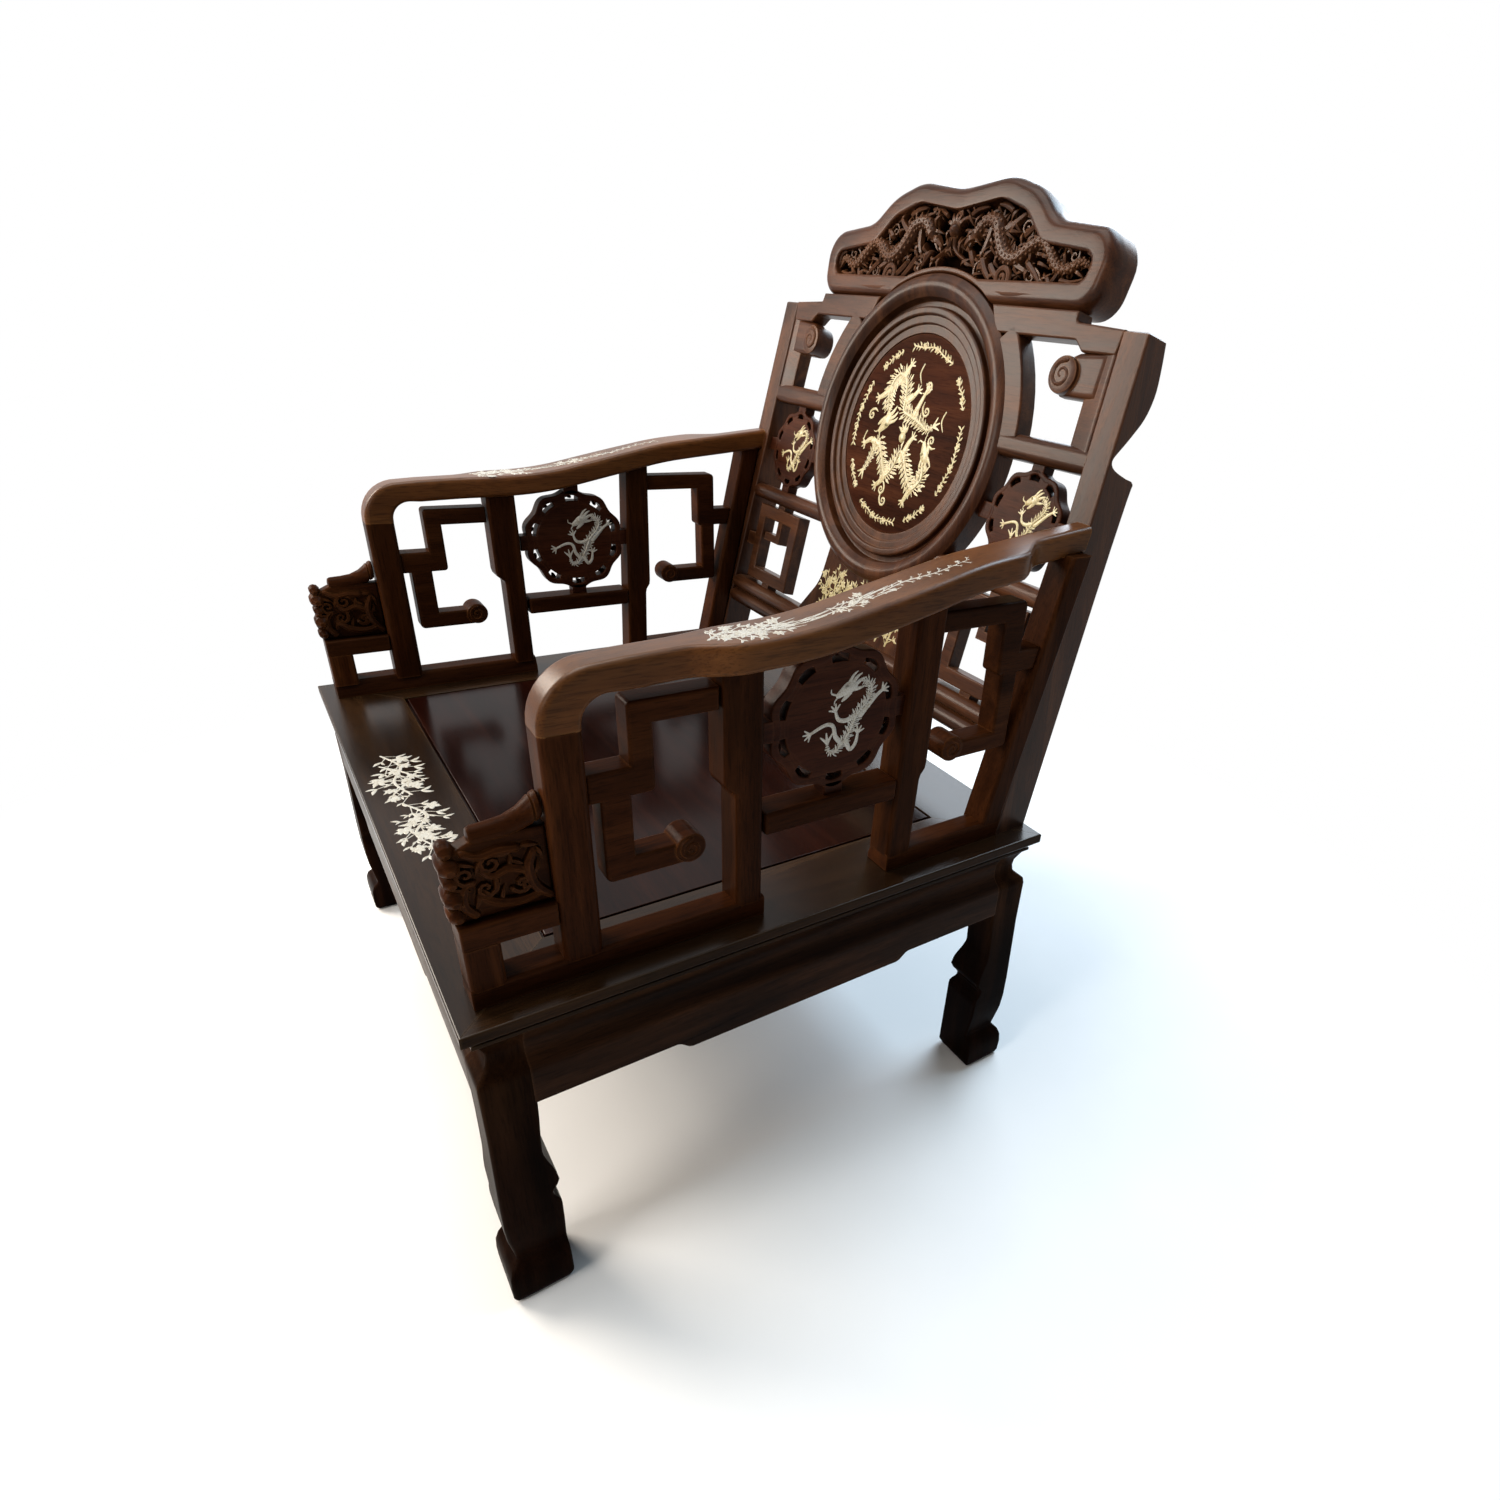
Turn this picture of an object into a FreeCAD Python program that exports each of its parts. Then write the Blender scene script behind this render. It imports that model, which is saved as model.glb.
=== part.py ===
import FreeCAD, Part
import math
import os

V = FreeCAD.Vector

# Low carved armchair. Millimetres, +Z up, the sitter faces -Y and the sitter's left arm is at +X.
# Work coordinates have Y = 0 in the middle of the seat's depth; the finished chair is moved
# along Y so that its origin lies on the floor under the middle of its box.

# Driving dimensions: seat frame
SEAT_WIDTH = 830.0
SEAT_DEPTH = 672.0
SEAT_HEIGHT = 372.0
SEAT_RAIL_WIDTH = 97.0
SEAT_RAIL_THICKNESS = 26.0
SEAT_EDGE_BAND = 12.0
SEAT_EDGE_COVE = 11.0
SEAT_EDGE_BEAD = 5.0
SEAT_EDGE_ROUND = 2.0
PANEL_THICKNESS = 15.0
PANEL_GAP = 3.5
TONGUE_LENGTH = 9.0
TONGUE_THICKNESS = 7.0
TONGUE_DEPTH = 5.0
BATTEN_WIDTH = 45.0
BATTEN_SPACING = 330.0
BATTEN_SHOULDER = 2.5

# Driving dimensions: waist, apron and legs, insets measured from the seat's edge
WAIST_HEIGHT = 30.0
WAIST_INSET = 33.0
WAIST_THICKNESS = 20.0
APRON_INSET = 6.0
APRON_MOULD = 24.0
APRON_FACE = 31.0
APRON_DROP = 10.0
APRON_DROP_SHARE = 0.47
APRON_STEP = 14.0
APRON_THICKNESS = 30.0
APRON_REBATE = 4.0
APRON_TENON_INSET = 8.0
MOULD_QUIRK = 3.0
MOULD_ROUND = 8.0
FOOT_SHARE = 0.483
FOOT_KICK = 10.0
FOOT_WIDTH = 61.0
FOOT_ROUND = 5.0
FOOT_SWEEP = 150.0
LEG_SWEEP = 120.0
CUSP_SHARE = 0.659
CUSP_RUN_SHARE = 0.176
CUSP_SWELL = 6.0
CUSP_HOLLOW = 3.0

# Driving dimensions: arms
ARM_INSET = 27.0
ARM_THICKNESS = 36.0
ARM_FRONT_INSET = 19.0
SILL_HEIGHT = 22.0
SILL_ROUND = 4.0
FRONT_POST_SETBACK = 98.0
FRONT_POST_WIDTH = 35.0
STUB_POST_WIDTH = 30.0
STUB_POST_HEIGHT = 61.0
WINDOW_RAIL_HEIGHT = 23.0
CARVED_PANEL_HEIGHT = 78.0
CARVED_PANEL_THICKNESS = 26.0
CARVED_LOBE = 8.0
CARVED_ROLL_RADIUS = 9.0
MID_POST_SETBACK = 264.0
MID_POST_WIDTH = 34.0
POST_SHOULDER = 12.0
POST_SHOULDER_HEIGHT = 145.0
POST_EASING = 4.0
POST_CUSP = 4.0
REAR_MID_POST_SETBACK = 452.0
REAR_MID_POST_WIDTH = 32.0
REAR_MID_POST_LEAN = 14.0
REAR_POST_WIDTH = 30.0
ARM_RAIL_THICKNESS = 28.0
ARM_RAIL_FRONT_HEIGHT = 290.0
ARM_RAIL_DIP_HEIGHT = 299.0
ARM_RAIL_RISE_HEIGHT = 340.0
ARM_RAIL_REAR_HEIGHT = 360.0
ARM_RAIL_DIP = 336.0
ARM_RAIL_RISE = 526.0
ARM_RAIL_SWEEP = 500.0
ARM_RAIL_BEND = 52.0
ARM_RAIL_BEND_INNER = 24.0
ARM_RAIL_SWELL_OUT = 20.0
ARM_RAIL_SWELL_IN = 7.0
ARM_RAIL_SWELL_RUN = 28.0
ARM_RAIL_SWELL_ROUND = 34.0
ARM_RAIL_SIDE_SWEEP = 1500.0
ARM_RAIL_NECK_SHIFT = 13.0
ARM_RAIL_NECK_WIDTH = 30.0
ARM_RAIL_NECK_RUN = 35.0
ARM_RAIL_NECK_ROUND = 30.0
MEDALLION_RAIL_BASE = 92.0
MEDALLION_RAIL_HEIGHT = 24.0
MEDALLION_GAP = 5.0
MEDALLION_LOBES = 10
LOBE_DIP = 0.93
PIERCING_REACH = 0.85
PIERCING_SHARE = 0.075
CORE_SHARE = 0.9
LUG_SHARE = 0.165
MEDALLION_THICKNESS = 20.0
FRET_BAR = 22.0
FRET_THICKNESS = 28.0
FRET_BASE = 86.0
FRET_STEP = 168.0
FRET_TOP = 232.0
FRET_POST_GAP = 10.0
FRET_OFFSET = 5.0
FRET_STEP_EXTRA = 6.0
FRET_ROUND = 4.0
FRET_EASING = 2.5
REAR_FRET_RISE = 34.0
REAR_FRET_STEP_RISE = 8.0
REAR_FRET_TOP_RISE = 3.0
REAR_FRET_STEP_EXTRA = 4.0
REAR_FRET_GAP = 3.0
REAR_FRET_OFFSET = 2.0
REAR_FRET_WIDEN = 8.0
FRET_CURL_RADIUS = 15.0

# Driving dimensions: back, heights measured up the raked face from the seat
BACK_RAKE = 13.2
BACK_INSET = 53.0
UPPER_RAIL = 419.0
LOWER_RAIL_SHARE = 0.6325
BACK_RISE = 141.0
STILE_WIDTH = 35.0
STILE_DEPTH = 49.0
STILE_TOP_DEPTH = 24.0
STILE_LEAN = 27.0
STILE_SHOULDER_DROP = 4.0
STILE_NOTCH = 31.0
BACK_RAIL_SETBACK = 4.0
BACK_RAIL_DEPTH = 26.0
TOP_RAIL_DROP = 13.0
TOP_RAIL_HEIGHT = 34.0
TOP_RAIL_STEP = 24.0
RING_SHARE = 0.2373
RING_DROP = 7.0
RING_BAND = 27.0
RING_INNER_SHARE = 0.655
RING_PROUD = 5.0
RING_QUIRK = 2.0
PANEL_RECESS = 11.0
ROUND_PANEL_THICKNESS = 10.0
ROUND_PANEL_LIP = 6.0
SIDE_RAIL_HEIGHT = 23.0
BOTTOM_RAIL = 85.0
BOTTOM_RAIL_HEIGHT = 46.0
BOTTOM_RAIL_GROOVE = 5.0
SIDE_MEDALLION_GAP = 5.5
SIDE_MEDALLION_THICKNESS = 18.0
LOWER_FRET_BAR_SHARE = 0.164
LOWER_FRET_INSET = 20.0
LOWER_FRET_SHARE = 0.0602
LOWER_FRET_GAP = 6.0
LOWER_FRET_SETBACK = 2.0
BRACKET_STRIP = 25.0
BRACKET_DROP_SHARE = 0.12
BRACKET_ARM_SHARE = 0.36
BRACKET_CURL_SHARE = 0.19
BRACKET_REACH = 60.0
BRACKET_SETBACK = 2.0
SPLAT_TOP_SHARE = 0.1205
SPLAT_FOOT_SHARE = 0.1783
SPLAT_THICKNESS = 16.0
SPLAT_SETBACK = 4.0
SPLAT_FLARE = 8.0
SPLAT_WAIST_SHARE = 0.42
SPLAT_SWEEP = 60.0
CREST_END_GAP = 46.0
CREST_RISE = 134.0
CREST_SHOULDER = 77.0
CREST_DIP = 8.0
CREST_THICKNESS = 32.0
CREST_BORDER = 22.0
CREST_RECESS = 9.0
CREST_LOBE = 4.0
CREST_EASING = 5.0

# Driving dimensions: joints and inlay
TENON_THICKNESS = 12.0
TENON_LENGTH = 14.0
TENON_SHOULDER = 3.0
CLEARANCE = 2.0
OVERSHOOT = 1.0
DOWEL = 8.0
EASING = 3.0
INLAY_DEPTH = 1.0
INLAY_SHARE = 0.2
DRAGON_ON_PANEL = 0.34
DRAGON_ON_MEDALLION = 0.57
GARLAND_SHARE = 0.88
GARLAND_WIDTH = 9.0
GARLAND_COUNT = 8
GARLAND_SPAN = 30.0

# Derived planes
HALF_WIDTH = SEAT_WIDTH / 2
HALF_DEPTH = SEAT_DEPTH / 2
SEAT_UNDERSIDE = SEAT_HEIGHT - SEAT_RAIL_THICKNESS
WAIST_BOTTOM = SEAT_UNDERSIDE - WAIST_HEIGHT
MOULD_BOTTOM = WAIST_BOTTOM - APRON_MOULD
APRON_BOTTOM = MOULD_BOTTOM - APRON_FACE
FOOT_HEIGHT = APRON_BOTTOM * FOOT_SHARE
CUSP_HEIGHT = APRON_BOTTOM * CUSP_SHARE
CUSP_RUN = APRON_BOTTOM * CUSP_RUN_SHARE
LEG_INNER = WAIST_INSET + WAIST_THICKNESS
ARM_OUT = HALF_WIDTH - ARM_INSET
ARM_IN = ARM_OUT - ARM_THICKNESS
ARM_MIDDLE = (ARM_OUT + ARM_IN) / 2
ARM_FRONT = ARM_FRONT_INSET - HALF_DEPTH
BACK_FOOT = HALF_DEPTH - BACK_INSET
BACK_SLOPE = math.tan(math.radians(BACK_RAKE))
FRONT_POST_FRONT = FRONT_POST_SETBACK - HALF_DEPTH
FRONT_POST_BACK = FRONT_POST_FRONT + FRONT_POST_WIDTH
MID_POST_FRONT = MID_POST_SETBACK - HALF_DEPTH
MID_POST_BACK = MID_POST_FRONT + MID_POST_WIDTH
REAR_MID_FRONT = REAR_MID_POST_SETBACK - HALF_DEPTH
REAR_MID_BACK = REAR_MID_FRONT + REAR_MID_POST_WIDTH
SILL_TOP = SEAT_HEIGHT + SILL_HEIGHT
GROOVE_BOTTOM = SEAT_HEIGHT - TONGUE_DEPTH - TONGUE_THICKNESS
MEDALLION_RAIL_TOP = MEDALLION_RAIL_BASE + MEDALLION_RAIL_HEIGHT
BACK_HEIGHT = UPPER_RAIL + BACK_RISE
LOWER_RAIL = UPPER_RAIL * LOWER_RAIL_SHARE
STILE_SHOULDER = UPPER_RAIL - STILE_SHOULDER_DROP
RING_RADIUS = SEAT_WIDTH * RING_SHARE
RING_INNER = RING_RADIUS * RING_INNER_SHARE
RING_CENTRE = UPPER_RAIL - RING_DROP
SPLAT_TOP_HALF = SEAT_WIDTH * SPLAT_TOP_SHARE
SPLAT_FOOT_HALF = SEAT_WIDTH * SPLAT_FOOT_SHARE
TOP_RAIL = BACK_HEIGHT - TOP_RAIL_DROP
CREST_BASE = TOP_RAIL + TOP_RAIL_HEIGHT
CREST_HALF_WIDTH = ARM_OUT - STILE_LEAN - STILE_WIDTH - CREST_END_GAP
BOTTOM_RAIL_TOP = BOTTOM_RAIL + BOTTOM_RAIL_HEIGHT

parts = {}


def side_plane(x):
    return lambda v: V(x, v.x, v.y)


def front_plane(y):
    return lambda v: V(v.x, y, v.y)


def floor_plane(z):
    return lambda v: V(v.x, v.y, z)


def back_plane(depth):
    """Plane of the upright back before it is raked: across, and up from the seat."""
    return lambda v: V(v.x, BACK_FOOT + depth, SEAT_HEIGHT + v.y)


def rounded_wire(points, place):
    """Closed wire through (a, b) or (a, b, radius) corners, with tangent arcs where a radius is given."""
    count = len(points)
    corners = []
    for i, point in enumerate(points):
        here = V(point[0], point[1], 0)
        radius = point[2] if len(point) > 2 else 0.0
        if radius == 0.0:
            corners.append((here, None, here))
            continue
        before = V(points[i - 1][0], points[i - 1][1], 0)
        after = V(points[(i + 1) % count][0], points[(i + 1) % count][1], 0)
        back = (before - here).normalize()
        onward = (after - here).normalize()
        half = back.getAngle(onward) / 2
        reach = radius / math.tan(half)
        centre = here + (back + onward).normalize() * (radius / math.sin(half))
        middle = centre + (here - centre).normalize() * radius
        corners.append((here + back * reach, middle, here + onward * reach))
    edges = []
    for i, (entry, middle, leave) in enumerate(corners):
        if middle is not None:
            edges.append(Part.Arc(place(entry), place(middle), place(leave)).toShape())
        following = corners[(i + 1) % count][0]
        if leave.distanceToPoint(following) > 1e-6:
            edges.append(Part.LineSegment(place(leave), place(following)).toShape())
    return Part.Wire(edges)


def prism(points, place, direction):
    return Part.Face(rounded_wire(points, place)).extrude(direction)


def box(low, high):
    return Part.makeBox(high[0] - low[0], high[1] - low[1], high[2] - low[2], V(*low))


def rectangle(a0, b0, a1, b1):
    return [(a0, b0), (a1, b0), (a1, b1), (a0, b1)]


def eased(solid, axis, radius=EASING, shortest=0.0):
    """Rounds the rims of the two flat ends that a solid has along an axis."""
    low = min(v.Point[axis] for v in solid.Vertexes)
    high = max(v.Point[axis] for v in solid.Vertexes)
    rims = []
    for edge in solid.Edges:
        places = [v.Point[axis] for v in edge.Vertexes]
        on_rim = max(abs(p - low) for p in places) < 1e-4 or max(abs(p - high) for p in places) < 1e-4
        if on_rim and edge.Length >= shortest:
            rims.append(edge)
    return solid.makeFillet(radius, rims)


def tenon(male, female, block):
    """Gives one piece a tenon and cuts its mortise in another."""
    parts[male] = parts[male].fuse(block).removeSplitter()
    parts[female] = parts[female].cut(block)


def raked(shape):
    """Tilts a piece of the upright back to its rake about the line where its face meets the seat."""
    turned = shape.copy()
    turned.rotate(V(0, BACK_FOOT, SEAT_HEIGHT), V(1, 0, 0), -BACK_RAKE)
    return turned


def back_face(z):
    """Y of the raked front face of the back at a height."""
    return BACK_FOOT + BACK_SLOPE * (z - SEAT_HEIGHT)


def mirrored(shape):
    return shape.mirror(V(0, 0, 0), V(1, 0, 0))


# Seat frame, apron and legs


def run(side, length):
    """Placement of (inset, height) profiles along one side of the seat, and the direction they run."""
    if side == "front":
        return lambda v: V(-length / 2, v.x - HALF_DEPTH, v.y), V(length, 0, 0)
    if side == "rear":
        return lambda v: V(-length / 2, HALF_DEPTH - v.x, v.y), V(length, 0, 0)
    if side == "right":
        return lambda v: V(v.x - HALF_WIDTH, -length / 2, v.y), V(0, length, 0)
    return lambda v: V(HALF_WIDTH - v.x, -length / 2, v.y), V(0, length, 0)


def seat_rails():
    """Four mitred rails with a band, cove and bead along the edge, grooved for the panel's tongue."""
    band_bottom = SEAT_HEIGHT - SEAT_EDGE_BAND
    bead_top = SEAT_UNDERSIDE + SEAT_EDGE_BEAD
    profile = [
        (SEAT_RAIL_WIDTH, SEAT_HEIGHT),
        (0, SEAT_HEIGHT, SEAT_EDGE_ROUND),
        (0, band_bottom, 2 * SEAT_EDGE_ROUND),
        (SEAT_EDGE_COVE, bead_top + SEAT_EDGE_ROUND, 3 * SEAT_EDGE_ROUND),
        (SEAT_EDGE_COVE + SEAT_EDGE_ROUND / 2, bead_top),
        (SEAT_EDGE_COVE - SEAT_EDGE_BEAD / 2, bead_top, SEAT_EDGE_ROUND / 2),
        (SEAT_EDGE_COVE - SEAT_EDGE_BEAD / 2, SEAT_UNDERSIDE, SEAT_EDGE_ROUND),
        (SEAT_RAIL_WIDTH, SEAT_UNDERSIDE),
    ]
    inner_x = HALF_WIDTH - SEAT_RAIL_WIDTH
    inner_y = HALF_DEPTH - SEAT_RAIL_WIDTH
    outer = rectangle(-HALF_WIDTH, -HALF_DEPTH, HALF_WIDTH, HALF_DEPTH)
    inner = rectangle(-inner_x, -inner_y, inner_x, inner_y)
    plans = {
        "front": [outer[0], outer[1], inner[1], inner[0]],
        "left": [outer[1], outer[2], inner[2], inner[1]],
        "rear": [outer[2], outer[3], inner[3], inner[2]],
        "right": [outer[3], outer[0], inner[0], inner[3]],
    }
    for side, plan in plans.items():
        length = SEAT_WIDTH if side in ("front", "rear") else SEAT_DEPTH
        place, direction = run(side, length)
        rail = prism(profile, place, direction)
        wedge = prism(plan, floor_plane(SEAT_UNDERSIDE), V(0, 0, SEAT_RAIL_THICKNESS))
        parts["seat_rail_" + side] = rail.common(wedge)
    tongue_top = GROOVE_BOTTOM + TONGUE_THICKNESS
    tongue = box(
        (-inner_x - TONGUE_LENGTH, -inner_y - TONGUE_LENGTH, GROOVE_BOTTOM),
        (inner_x + TONGUE_LENGTH, inner_y + TONGUE_LENGTH, tongue_top),
    )
    field = box(
        (PANEL_GAP - inner_x, PANEL_GAP - inner_y, SEAT_HEIGHT - PANEL_THICKNESS),
        (inner_x - PANEL_GAP, inner_y - PANEL_GAP, SEAT_HEIGHT),
    )
    parts["seat_panel"] = field.fuse(tongue).removeSplitter()
    for side in plans:
        parts["seat_rail_" + side] = parts["seat_rail_" + side].cut(tongue)
    mitre_tenons(inner_x, inner_y)
    battens(inner_y)


def mitre_tenons(inner_x, inner_y):
    """Tenons from the side rails through each mitre into the end rails, under the tongue's groove."""
    low = SEAT_UNDERSIDE + SEAT_EDGE_BEAD
    high = low + SEAT_RAIL_THICKNESS / 4
    middle = SEAT_RAIL_WIDTH * 0.66
    for side, sign in (("left", 1), ("right", -1)):
        for end, way in (("front", -1), ("rear", 1)):
            xs = sorted((sign * (HALF_WIDTH - middle), sign * (HALF_WIDTH - middle - TENON_LENGTH)))
            near = HALF_DEPTH - middle - TENON_LENGTH
            ys = sorted((way * near, way * (near + 2 * TENON_LENGTH)))
            block = box((xs[0], ys[0], low), (xs[1], ys[1], high))
            tenon("seat_rail_" + side, "seat_rail_" + end, block)


def battens(inner_y):
    """Two battens under the panel, held by stub tenons in the front and rear rails."""
    top = SEAT_HEIGHT - PANEL_THICKNESS
    bars = []
    for x in (-BATTEN_SPACING / 2, BATTEN_SPACING / 2):
        bar = box((x - BATTEN_WIDTH / 2, -inner_y, SEAT_UNDERSIDE), (x + BATTEN_WIDTH / 2, inner_y, top))
        stub = box(
            (x - BATTEN_WIDTH / 4, -inner_y - TENON_LENGTH, SEAT_UNDERSIDE + BATTEN_SHOULDER),
            (x + BATTEN_WIDTH / 4, inner_y + TENON_LENGTH, top - BATTEN_SHOULDER),
        )
        bars.append(bar.fuse(stub).removeSplitter())
    parts["seat_battens"] = Part.makeCompound(bars)
    for end in ("front", "rear"):
        parts["seat_rail_" + end] = parts["seat_rail_" + end].cut(parts["seat_battens"])


def aprons():
    """Waist and apron of each side in one board, with a swelling shoulder and a stepped lower edge."""
    profile = [
        (LEG_INNER, SEAT_UNDERSIDE),
        (WAIST_INSET, SEAT_UNDERSIDE),
        (WAIST_INSET, WAIST_BOTTOM),
        (APRON_INSET + MOULD_QUIRK, WAIST_BOTTOM - MOULD_QUIRK, MOULD_ROUND),
        (APRON_INSET, MOULD_BOTTOM, 2 * MOULD_QUIRK),
        (APRON_INSET, APRON_BOTTOM - APRON_DROP),
        (APRON_INSET + APRON_THICKNESS, APRON_BOTTOM - APRON_DROP),
        (APRON_INSET + APRON_THICKNESS, MOULD_BOTTOM - APRON_REBATE),
        (LEG_INNER, MOULD_BOTTOM - APRON_REBATE),
    ]
    widths = {"front": SEAT_WIDTH, "rear": SEAT_WIDTH, "left": SEAT_DEPTH, "right": SEAT_DEPTH}
    for side, width in widths.items():
        length = width - 2 * LEG_INNER
        place, direction = run(side, length)
        board = prism(profile, place, direction)
        half = length / 2
        drop = half * APRON_DROP_SHARE
        low = APRON_BOTTOM - APRON_DROP
        for sign in (-1, 1):
            notch = [
                (sign * (half + OVERSHOOT), low - OVERSHOOT),
                (sign * drop, low - OVERSHOOT),
                (sign * drop, low),
                (sign * (drop + APRON_STEP), APRON_BOTTOM),
                (sign * (half + OVERSHOOT), APRON_BOTTOM),
            ]
            if side in ("front", "rear"):
                cutter = prism(notch, front_plane(-HALF_DEPTH), V(0, SEAT_DEPTH, 0))
            else:
                cutter = prism(notch, side_plane(-HALF_WIDTH), V(SEAT_WIDTH, 0, 0))
            board = board.cut(cutter)
        parts["apron_" + side] = board


def leg_profile():
    """Outline of a leg seen square on: inset from the seat's edge, and height."""
    shaft = APRON_INSET
    foot = APRON_INSET - FOOT_KICK
    return [
        (LEG_INNER, SEAT_UNDERSIDE),
        (WAIST_INSET, SEAT_UNDERSIDE),
        (WAIST_INSET, WAIST_BOTTOM),
        (shaft + MOULD_QUIRK, WAIST_BOTTOM - MOULD_QUIRK, MOULD_ROUND),
        (shaft, MOULD_BOTTOM, 2 * MOULD_QUIRK),
        (shaft, CUSP_HEIGHT, LEG_SWEEP),
        (shaft + CUSP_HOLLOW, FOOT_HEIGHT + 2 * CUSP_HOLLOW, CUSP_HOLLOW),
        (foot, FOOT_HEIGHT - FOOT_ROUND / 2, FOOT_ROUND),
        (foot - FOOT_KICK / 10, FOOT_HEIGHT / 2, FOOT_SWEEP),
        (foot + FOOT_KICK * 0.7, 0),
        (foot + FOOT_WIDTH, 0),
        (foot + FOOT_WIDTH, FOOT_HEIGHT, LEG_SWEEP / 2),
        (LEG_INNER + CUSP_SWELL / 3, CUSP_HEIGHT - CUSP_SWELL, CUSP_SWELL / 3),
        (LEG_INNER + CUSP_SWELL, CUSP_HEIGHT, CUSP_SWELL / 2),
        (LEG_INNER - CUSP_SWELL / 2, CUSP_HEIGHT + CUSP_RUN, CUSP_RUN * 0.87),
        (LEG_INNER, APRON_BOTTOM - APRON_DROP),
    ]


def legs():
    """Square legs whose four faces share one outline, each with a stub through the waist and a top tenon."""
    profile = leg_profile()
    reach = LEG_INNER + FOOT_WIDTH
    for end, way in (("front", -1), ("rear", 1)):
        for side, sign in (("left", 1), ("right", -1)):
            across = [(sign * (HALF_WIDTH - p[0]),) + tuple(p[1:]) for p in profile]
            along = [(way * (HALF_DEPTH - p[0]),) + tuple(p[1:]) for p in profile]
            start_y = way * (HALF_DEPTH + FOOT_KICK)
            start_x = sign * (HALF_WIDTH + FOOT_KICK)
            leg = prism(across, front_plane(start_y), V(0, -way * reach, 0))
            leg = leg.common(prism(along, side_plane(start_x), V(-sign * reach, 0, 0)))
            name = "leg_" + end + "_" + side
            parts[name] = leg
            near = WAIST_INSET + TENON_SHOULDER
            far = LEG_INNER - TENON_SHOULDER
            xs = sorted((sign * (HALF_WIDTH - near), sign * (HALF_WIDTH - far)))
            ys = sorted((way * (HALF_DEPTH - near), way * (HALF_DEPTH - far)))
            post = box((xs[0], ys[0], SEAT_UNDERSIDE), (xs[1], ys[1], GROOVE_BOTTOM - CLEARANCE))
            parts["seat_rail_" + side] = parts["seat_rail_" + side].cut(post)
            tenon(name, "seat_rail_" + end, post)
            leg_tenons(name, end, way, side, sign)


def leg_tenons(name, end, way, side, sign):
    """Apron tenons that pass each other inside the leg."""
    low = APRON_BOTTOM + APRON_TENON_INSET
    high = MOULD_BOTTOM - CLEARANCE
    near = APRON_INSET + APRON_TENON_INSET
    far = near + TENON_THICKNESS
    deep = LEG_INNER - 2 * TENON_LENGTH + TENON_SHOULDER
    ys = sorted((way * (HALF_DEPTH - near), way * (HALF_DEPTH - far)))
    xs = sorted((sign * (HALF_WIDTH - LEG_INNER), sign * (HALF_WIDTH - deep)))
    tenon("apron_" + end, name, box((xs[0], ys[0], low), (xs[1], ys[1], high)))
    xs = sorted((sign * (HALF_WIDTH - near), sign * (HALF_WIDTH - far)))
    ys = sorted((way * (HALF_DEPTH - LEG_INNER), way * (HALF_DEPTH - deep)))
    tenon("apron_" + side, name, box((xs[0], ys[0], low), (xs[1], ys[1], high)))


# Arms: built at +X, then mirrored


def arm_rail():
    """Rail that bends down into the front post, swells to a flat rest and narrows to a neck at the back."""
    front = FRONT_POST_FRONT
    inner = FRONT_POST_BACK
    z_front = SEAT_HEIGHT + ARM_RAIL_FRONT_HEIGHT
    z_dip = SEAT_HEIGHT + ARM_RAIL_DIP_HEIGHT
    z_rise = SEAT_HEIGHT + ARM_RAIL_RISE_HEIGHT
    z_rear = SEAT_HEIGHT + ARM_RAIL_REAR_HEIGHT
    heel = z_front - ARM_RAIL_BEND
    dip = ARM_RAIL_DIP - HALF_DEPTH
    rise = ARM_RAIL_RISE - HALF_DEPTH
    under = ARM_RAIL_THICKNESS
    side_view = [
        (front, heel),
        (front, z_front, ARM_RAIL_BEND * 0.96),
        (dip, z_dip, ARM_RAIL_SWEEP),
        (rise, z_rise, ARM_RAIL_SWEEP),
        (back_face(z_rear), z_rear),
        (back_face(z_rear - under), z_rear - under),
        (rise, z_rise - under, ARM_RAIL_SWEEP),
        (dip, z_dip - under, ARM_RAIL_SWEEP),
        (inner, z_front - under * 0.9, ARM_RAIL_BEND_INNER),
        (inner, heel),
    ]
    shoulder = MID_POST_FRONT - FRONT_POST_WIDTH
    swell_front = shoulder + ARM_RAIL_SWELL_RUN
    neck = BACK_FOOT + CLEARANCE
    swell_rear = neck - ARM_RAIL_NECK_RUN
    rest = (swell_front + swell_rear) / 2
    neck_out = ARM_OUT - ARM_RAIL_NECK_SHIFT
    neck_in = neck_out - ARM_RAIL_NECK_WIDTH
    end = back_face(z_rear) + OVERSHOOT
    out = ARM_OUT + ARM_RAIL_SWELL_OUT
    into = ARM_IN - ARM_RAIL_SWELL_IN
    into_end = into + ARM_RAIL_SWELL_IN * 0.3
    bulge = ARM_RAIL_SWELL_ROUND
    tuck = ARM_RAIL_NECK_ROUND
    sweep = ARM_RAIL_SIDE_SWEEP
    plan_view = [
        (ARM_IN, front - OVERSHOOT),
        (ARM_OUT, front - OVERSHOOT),
        (ARM_OUT, shoulder, bulge),
        (out - ARM_RAIL_SWELL_OUT * 0.2, swell_front, bulge),
        (out, rest, sweep),
        (out - ARM_RAIL_SWELL_OUT * 0.3, swell_rear, tuck),
        (neck_out, neck, tuck),
        (neck_out, end),
        (neck_in, end),
        (neck_in, neck, tuck),
        (into_end, swell_rear, tuck),
        (into, rest, sweep),
        (into_end, swell_front, bulge),
        (ARM_IN, shoulder, bulge),
    ]
    rail = prism(side_view, side_plane(ARM_IN - ARM_THICKNESS), V(3 * ARM_THICKNESS, 0, 0))
    return rail.common(prism(plan_view, floor_plane(SEAT_HEIGHT), V(0, 0, z_rear)))


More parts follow.
